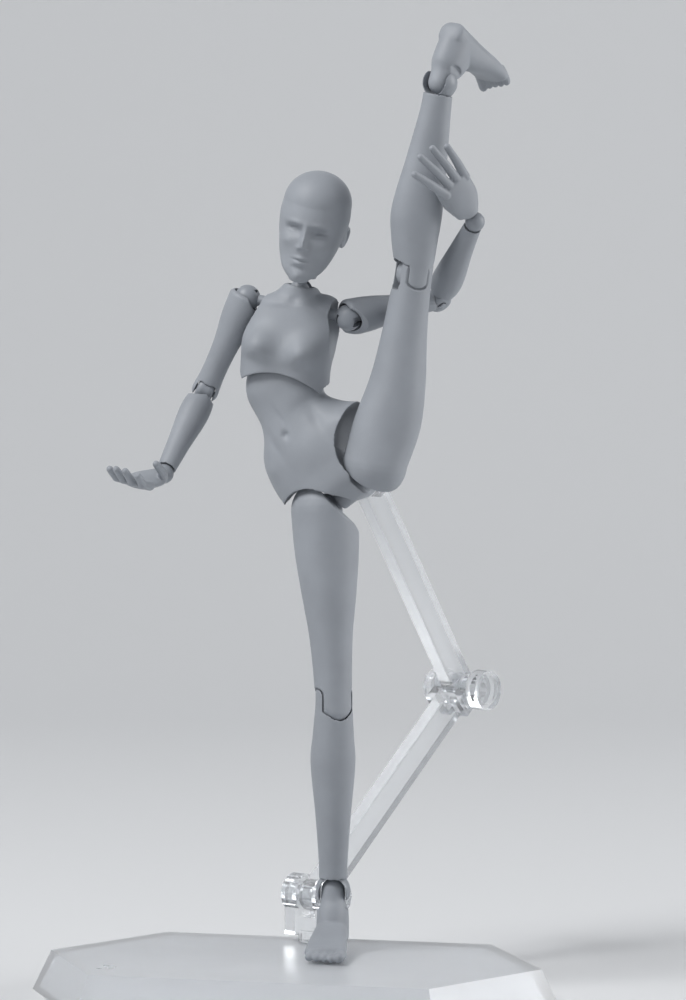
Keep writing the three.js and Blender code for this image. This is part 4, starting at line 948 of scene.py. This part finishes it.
def plastic(name, colour, rough, tooth):
    """Moulded plastic whose grey moves a little, with a fine tooth on its surface."""
    finish = bpy.data.materials.new(name)
    finish.use_nodes = True
    nodes, links = finish.node_tree.nodes, finish.node_tree.links
    shader = nodes["Principled BSDF"]
    place = nodes.new("ShaderNodeTexCoord")
    cloud = nodes.new("ShaderNodeTexNoise")
    cloud.inputs["Scale"].default_value = CLOUD_SCALE
    cloud.inputs["Detail"].default_value = 4
    shade = nodes.new("ShaderNodeValToRGB")
    for stop, (position, share) in zip(shade.color_ramp.elements, SHADE_STOPS):
        stop.position = position
        stop.color = (*(c * share for c in colour), 1)
    grain = nodes.new("ShaderNodeTexNoise")
    grain.inputs["Scale"].default_value = GRAIN_SCALE
    grain.inputs["Detail"].default_value = 2
    bump = nodes.new("ShaderNodeBump")
    bump.inputs["Strength"].default_value = tooth
    bump.inputs["Distance"].default_value = GRAIN_HEIGHT
    dull = nodes.new("ShaderNodeMapRange")
    dull.inputs["To Min"].default_value = rough - ROUGH_SWING
    dull.inputs["To Max"].default_value = rough + ROUGH_SWING
    links.new(place.outputs["Object"], cloud.inputs["Vector"])
    links.new(place.outputs["Object"], grain.inputs["Vector"])
    links.new(cloud.outputs["Fac"], shade.inputs["Fac"])
    links.new(shade.outputs["Color"], shader.inputs["Base Color"])
    links.new(cloud.outputs["Fac"], dull.inputs["Value"])
    links.new(dull.outputs["Result"], shader.inputs["Roughness"])
    links.new(grain.outputs["Fac"], bump.inputs["Height"])
    links.new(bump.outputs["Normal"], shader.inputs["Normal"])
    shader.inputs["Specular IOR Level"].default_value = SHINE
    return finish


matte_grey = plastic("matte_grey_skin", SKIN_GREY, 0.55, 0.25)
joint_grey = plastic("satin_grey_joints", JOINT_GREY, 0.42, 0.1)
for node, piece in finished.items():
    piece.data.materials.clear()
    piece.data.materials.append(joint_grey if node.endswith(JOINT_ENDINGS) else matte_grey)
print("grey pieces:", len(finished))

# %% [markdown]
# The stand is moulded in clear plastic with a polish, so its edges catch the light and
# its faces nearly vanish. The base is the same plastic with a rougher, milky surface.
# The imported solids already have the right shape, so they only get a small rounded edge
# and a finish whose haze varies a little, as tiny surface marks leave it.

# %% Clear stand
PLASTIC_IOR = 1.49
SMEAR_SCALE, ROUGH_LOW, ROUGH_HIGH, TINT_LOW = 90, 0.8, 1.2, 0.985
EDGE, EDGE_ANGLE = 0.00018, 35


def clear_plastic(name, tint, rough, clearness):
    """See-through plastic whose roughness and tint move a little."""
    finish = bpy.data.materials.new(name)
    finish.use_nodes = True
    nodes, links = finish.node_tree.nodes, finish.node_tree.links
    shader = nodes["Principled BSDF"]
    shader.inputs["Transmission Weight"].default_value = clearness
    shader.inputs["IOR"].default_value = PLASTIC_IOR
    place = nodes.new("ShaderNodeTexCoord")
    smear = nodes.new("ShaderNodeTexNoise")
    smear.inputs["Scale"].default_value = SMEAR_SCALE
    smear.inputs["Detail"].default_value = 5
    dull = nodes.new("ShaderNodeMapRange")
    dull.inputs["To Min"].default_value = rough * ROUGH_LOW
    dull.inputs["To Max"].default_value = rough * ROUGH_HIGH
    shade = nodes.new("ShaderNodeValToRGB")
    shade.color_ramp.elements[0].color = (*(c * TINT_LOW for c in tint), 1)
    shade.color_ramp.elements[1].color = (*tint, 1)
    links.new(place.outputs["Object"], smear.inputs["Vector"])
    links.new(smear.outputs["Fac"], dull.inputs["Value"])
    links.new(smear.outputs["Fac"], shade.inputs["Fac"])
    links.new(shade.outputs["Color"], shader.inputs["Base Color"])
    links.new(dull.outputs["Result"], shader.inputs["Roughness"])
    return finish


clear = clear_plastic("clear_stand_plastic", (0.95, 0.965, 0.98), 0.12, 0.88)
milky = clear_plastic("milky_base_plastic", (0.93, 0.95, 0.975), 0.3, 0.6)
for node, body in frame["nodes"].items():
    if node in finished:
        continue
    soften = body.modifiers.new("moulded_edge", "BEVEL")
    soften.width = EDGE
    soften.segments = 2
    soften.limit_method = "ANGLE"
    soften.angle_limit = np.radians(EDGE_ANGLE)
    soften.harden_normals = True
    body.data.shade_smooth()
    body.data.materials.clear()
    body.data.materials.append(milky if node == "base" else clear)
print("clear pieces:", len(frame["nodes"]) - len(finished))

# %% [markdown]
# The set is a pale sweep: a floor that curves up into a wall, so that no horizon cuts
# through the clear stand. A large lamp above gives the soft top light of a studio, and
# two weaker ones fill the front and the side. The wall stands close behind the figure,
# so it has to move back (a larger WALL_AT) before the camera can go round behind.

# %% Set and lamps
base_low, base_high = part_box("base")
base_middle = (base_low + base_high) / 2
FLOOR_WIDE, FLOOR_FRONT, WALL_AT, WALL_TALL, BEND = 3.0, -2.0, 0.75, 2.0, 0.35
PAPER, PAPER_ROUGH = (0.7, 0.71, 0.72, 1), 0.9
LAMP_AIM = (0, 0, 0.085)
LAMPS = [
    ("top_softbox", (-0.4, -0.25, 0.7), 0.35, 4.8),
    ("front_fill", (-0.7, -0.6, 0.15), 0.6, 0.7),
    ("side_rim", (0.75, 0.05, 0.3), 0.4, 3.4),
]
AIR_COLOUR, AIR_LIGHT, AIR_SEEN = (0.93, 0.95, 1, 1), 0.26, 0.85


def sweep():
    angles = np.linspace(0, np.pi / 2, 24)
    curve = [(WALL_AT - BEND + BEND * np.sin(a), BEND - BEND * np.cos(a)) for a in angles]
    profile = [(FLOOR_FRONT, 0.0), *curve, (WALL_AT, WALL_TALL)]
    points = [(x, y, z) for y, z in profile for x in (-FLOOR_WIDE, FLOOR_WIDE)]
    faces = [(2 * i, 2 * i + 1, 2 * i + 3, 2 * i + 2) for i in range(len(profile) - 1)]
    mesh = bpy.data.meshes.new("pale_sweep")
    mesh.from_pydata(points, [], faces)
    mesh.shade_smooth()
    thing = bpy.data.objects.new("pale_sweep", mesh)
    bpy.context.scene.collection.objects.link(thing)
    return thing


backdrop = sweep()
paper = bpy.data.materials.new("pale_paper")
paper.use_nodes = True
paper_shader = paper.node_tree.nodes["Principled BSDF"]
paper_shader.inputs["Base Color"].default_value = PAPER
paper_shader.inputs["Roughness"].default_value = PAPER_ROUGH
backdrop.data.materials.append(paper)


def soft_lamp(name, place, size, watts):
    lamp = bpy.data.objects.new(name, bpy.data.lights.new(name, "AREA"))
    lamp.data.size = size
    lamp.data.energy = watts
    lamp.location = place
    aim = Vector(LAMP_AIM) - lamp.location
    lamp.rotation_euler = aim.to_track_quat("-Z", "Y").to_euler()
    bpy.context.scene.collection.objects.link(lamp)


for lamp_row in LAMPS:
    soft_lamp(*lamp_row)
world = bpy.data.worlds.new("studio_air")
bpy.context.scene.world = world
world.use_nodes = True
air, air_links = world.node_tree.nodes, world.node_tree.links
air["Background"].inputs["Color"].default_value = AIR_COLOUR
# Rays that see the air meet a bright strength, and rays that only light the figure a weak one.
path = air.new("ShaderNodeLightPath")
seen = None
for ray in ("Is Camera Ray", "Is Glossy Ray", "Is Transmission Ray"):
    step = air.new("ShaderNodeMath")
    step.operation = "MAXIMUM"
    air_links.new(path.outputs[ray], step.inputs[0])
    if seen:
        air_links.new(seen.outputs[0], step.inputs[1])
    else:
        step.inputs[1].default_value = 0
    seen = step
strength = air.new("ShaderNodeMapRange")
strength.inputs["To Min"].default_value = AIR_LIGHT
strength.inputs["To Max"].default_value = AIR_SEEN
air_links.new(seen.outputs[0], strength.inputs["Value"])
air_links.new(strength.outputs["Result"], air["Background"].inputs["Strength"])
print("lamps:", len(LAMPS), "wall at", WALL_AT, "m")

# %% [markdown]
# The camera stands a long way off, a little above the base, which keeps both legs
# nearly parallel on the picture. Its place is measured from the middle of the base.

# %% Camera
CAMERA_REACH = (8.5, -896.6, 152.3)
AIM_POINT = (8.5, 1.0, 86.1)
PICTURE_HEIGHT, FOCAL_PIXELS, SENSOR_HEIGHT = 1000, 5265, 24
ground = Vector((base_middle.x, base_middle.y, 0))
camera = bpy.data.objects.new("camera", bpy.data.cameras.new("camera"))
bpy.context.scene.collection.objects.link(camera)
camera.location = ground + Vector(CAMERA_REACH) * MM
camera.rotation_euler = (Vector(AIM_POINT) - Vector(CAMERA_REACH)).to_track_quat("-Z", "Y").to_euler()
camera.data.sensor_fit = "VERTICAL"
camera.data.sensor_height = SENSOR_HEIGHT
camera.data.lens = FOCAL_PIXELS / PICTURE_HEIGHT * SENSOR_HEIGHT
camera.data.clip_start = 0.01
bpy.context.scene.camera = camera
bpy.context.scene.view_settings.view_transform = "Standard"
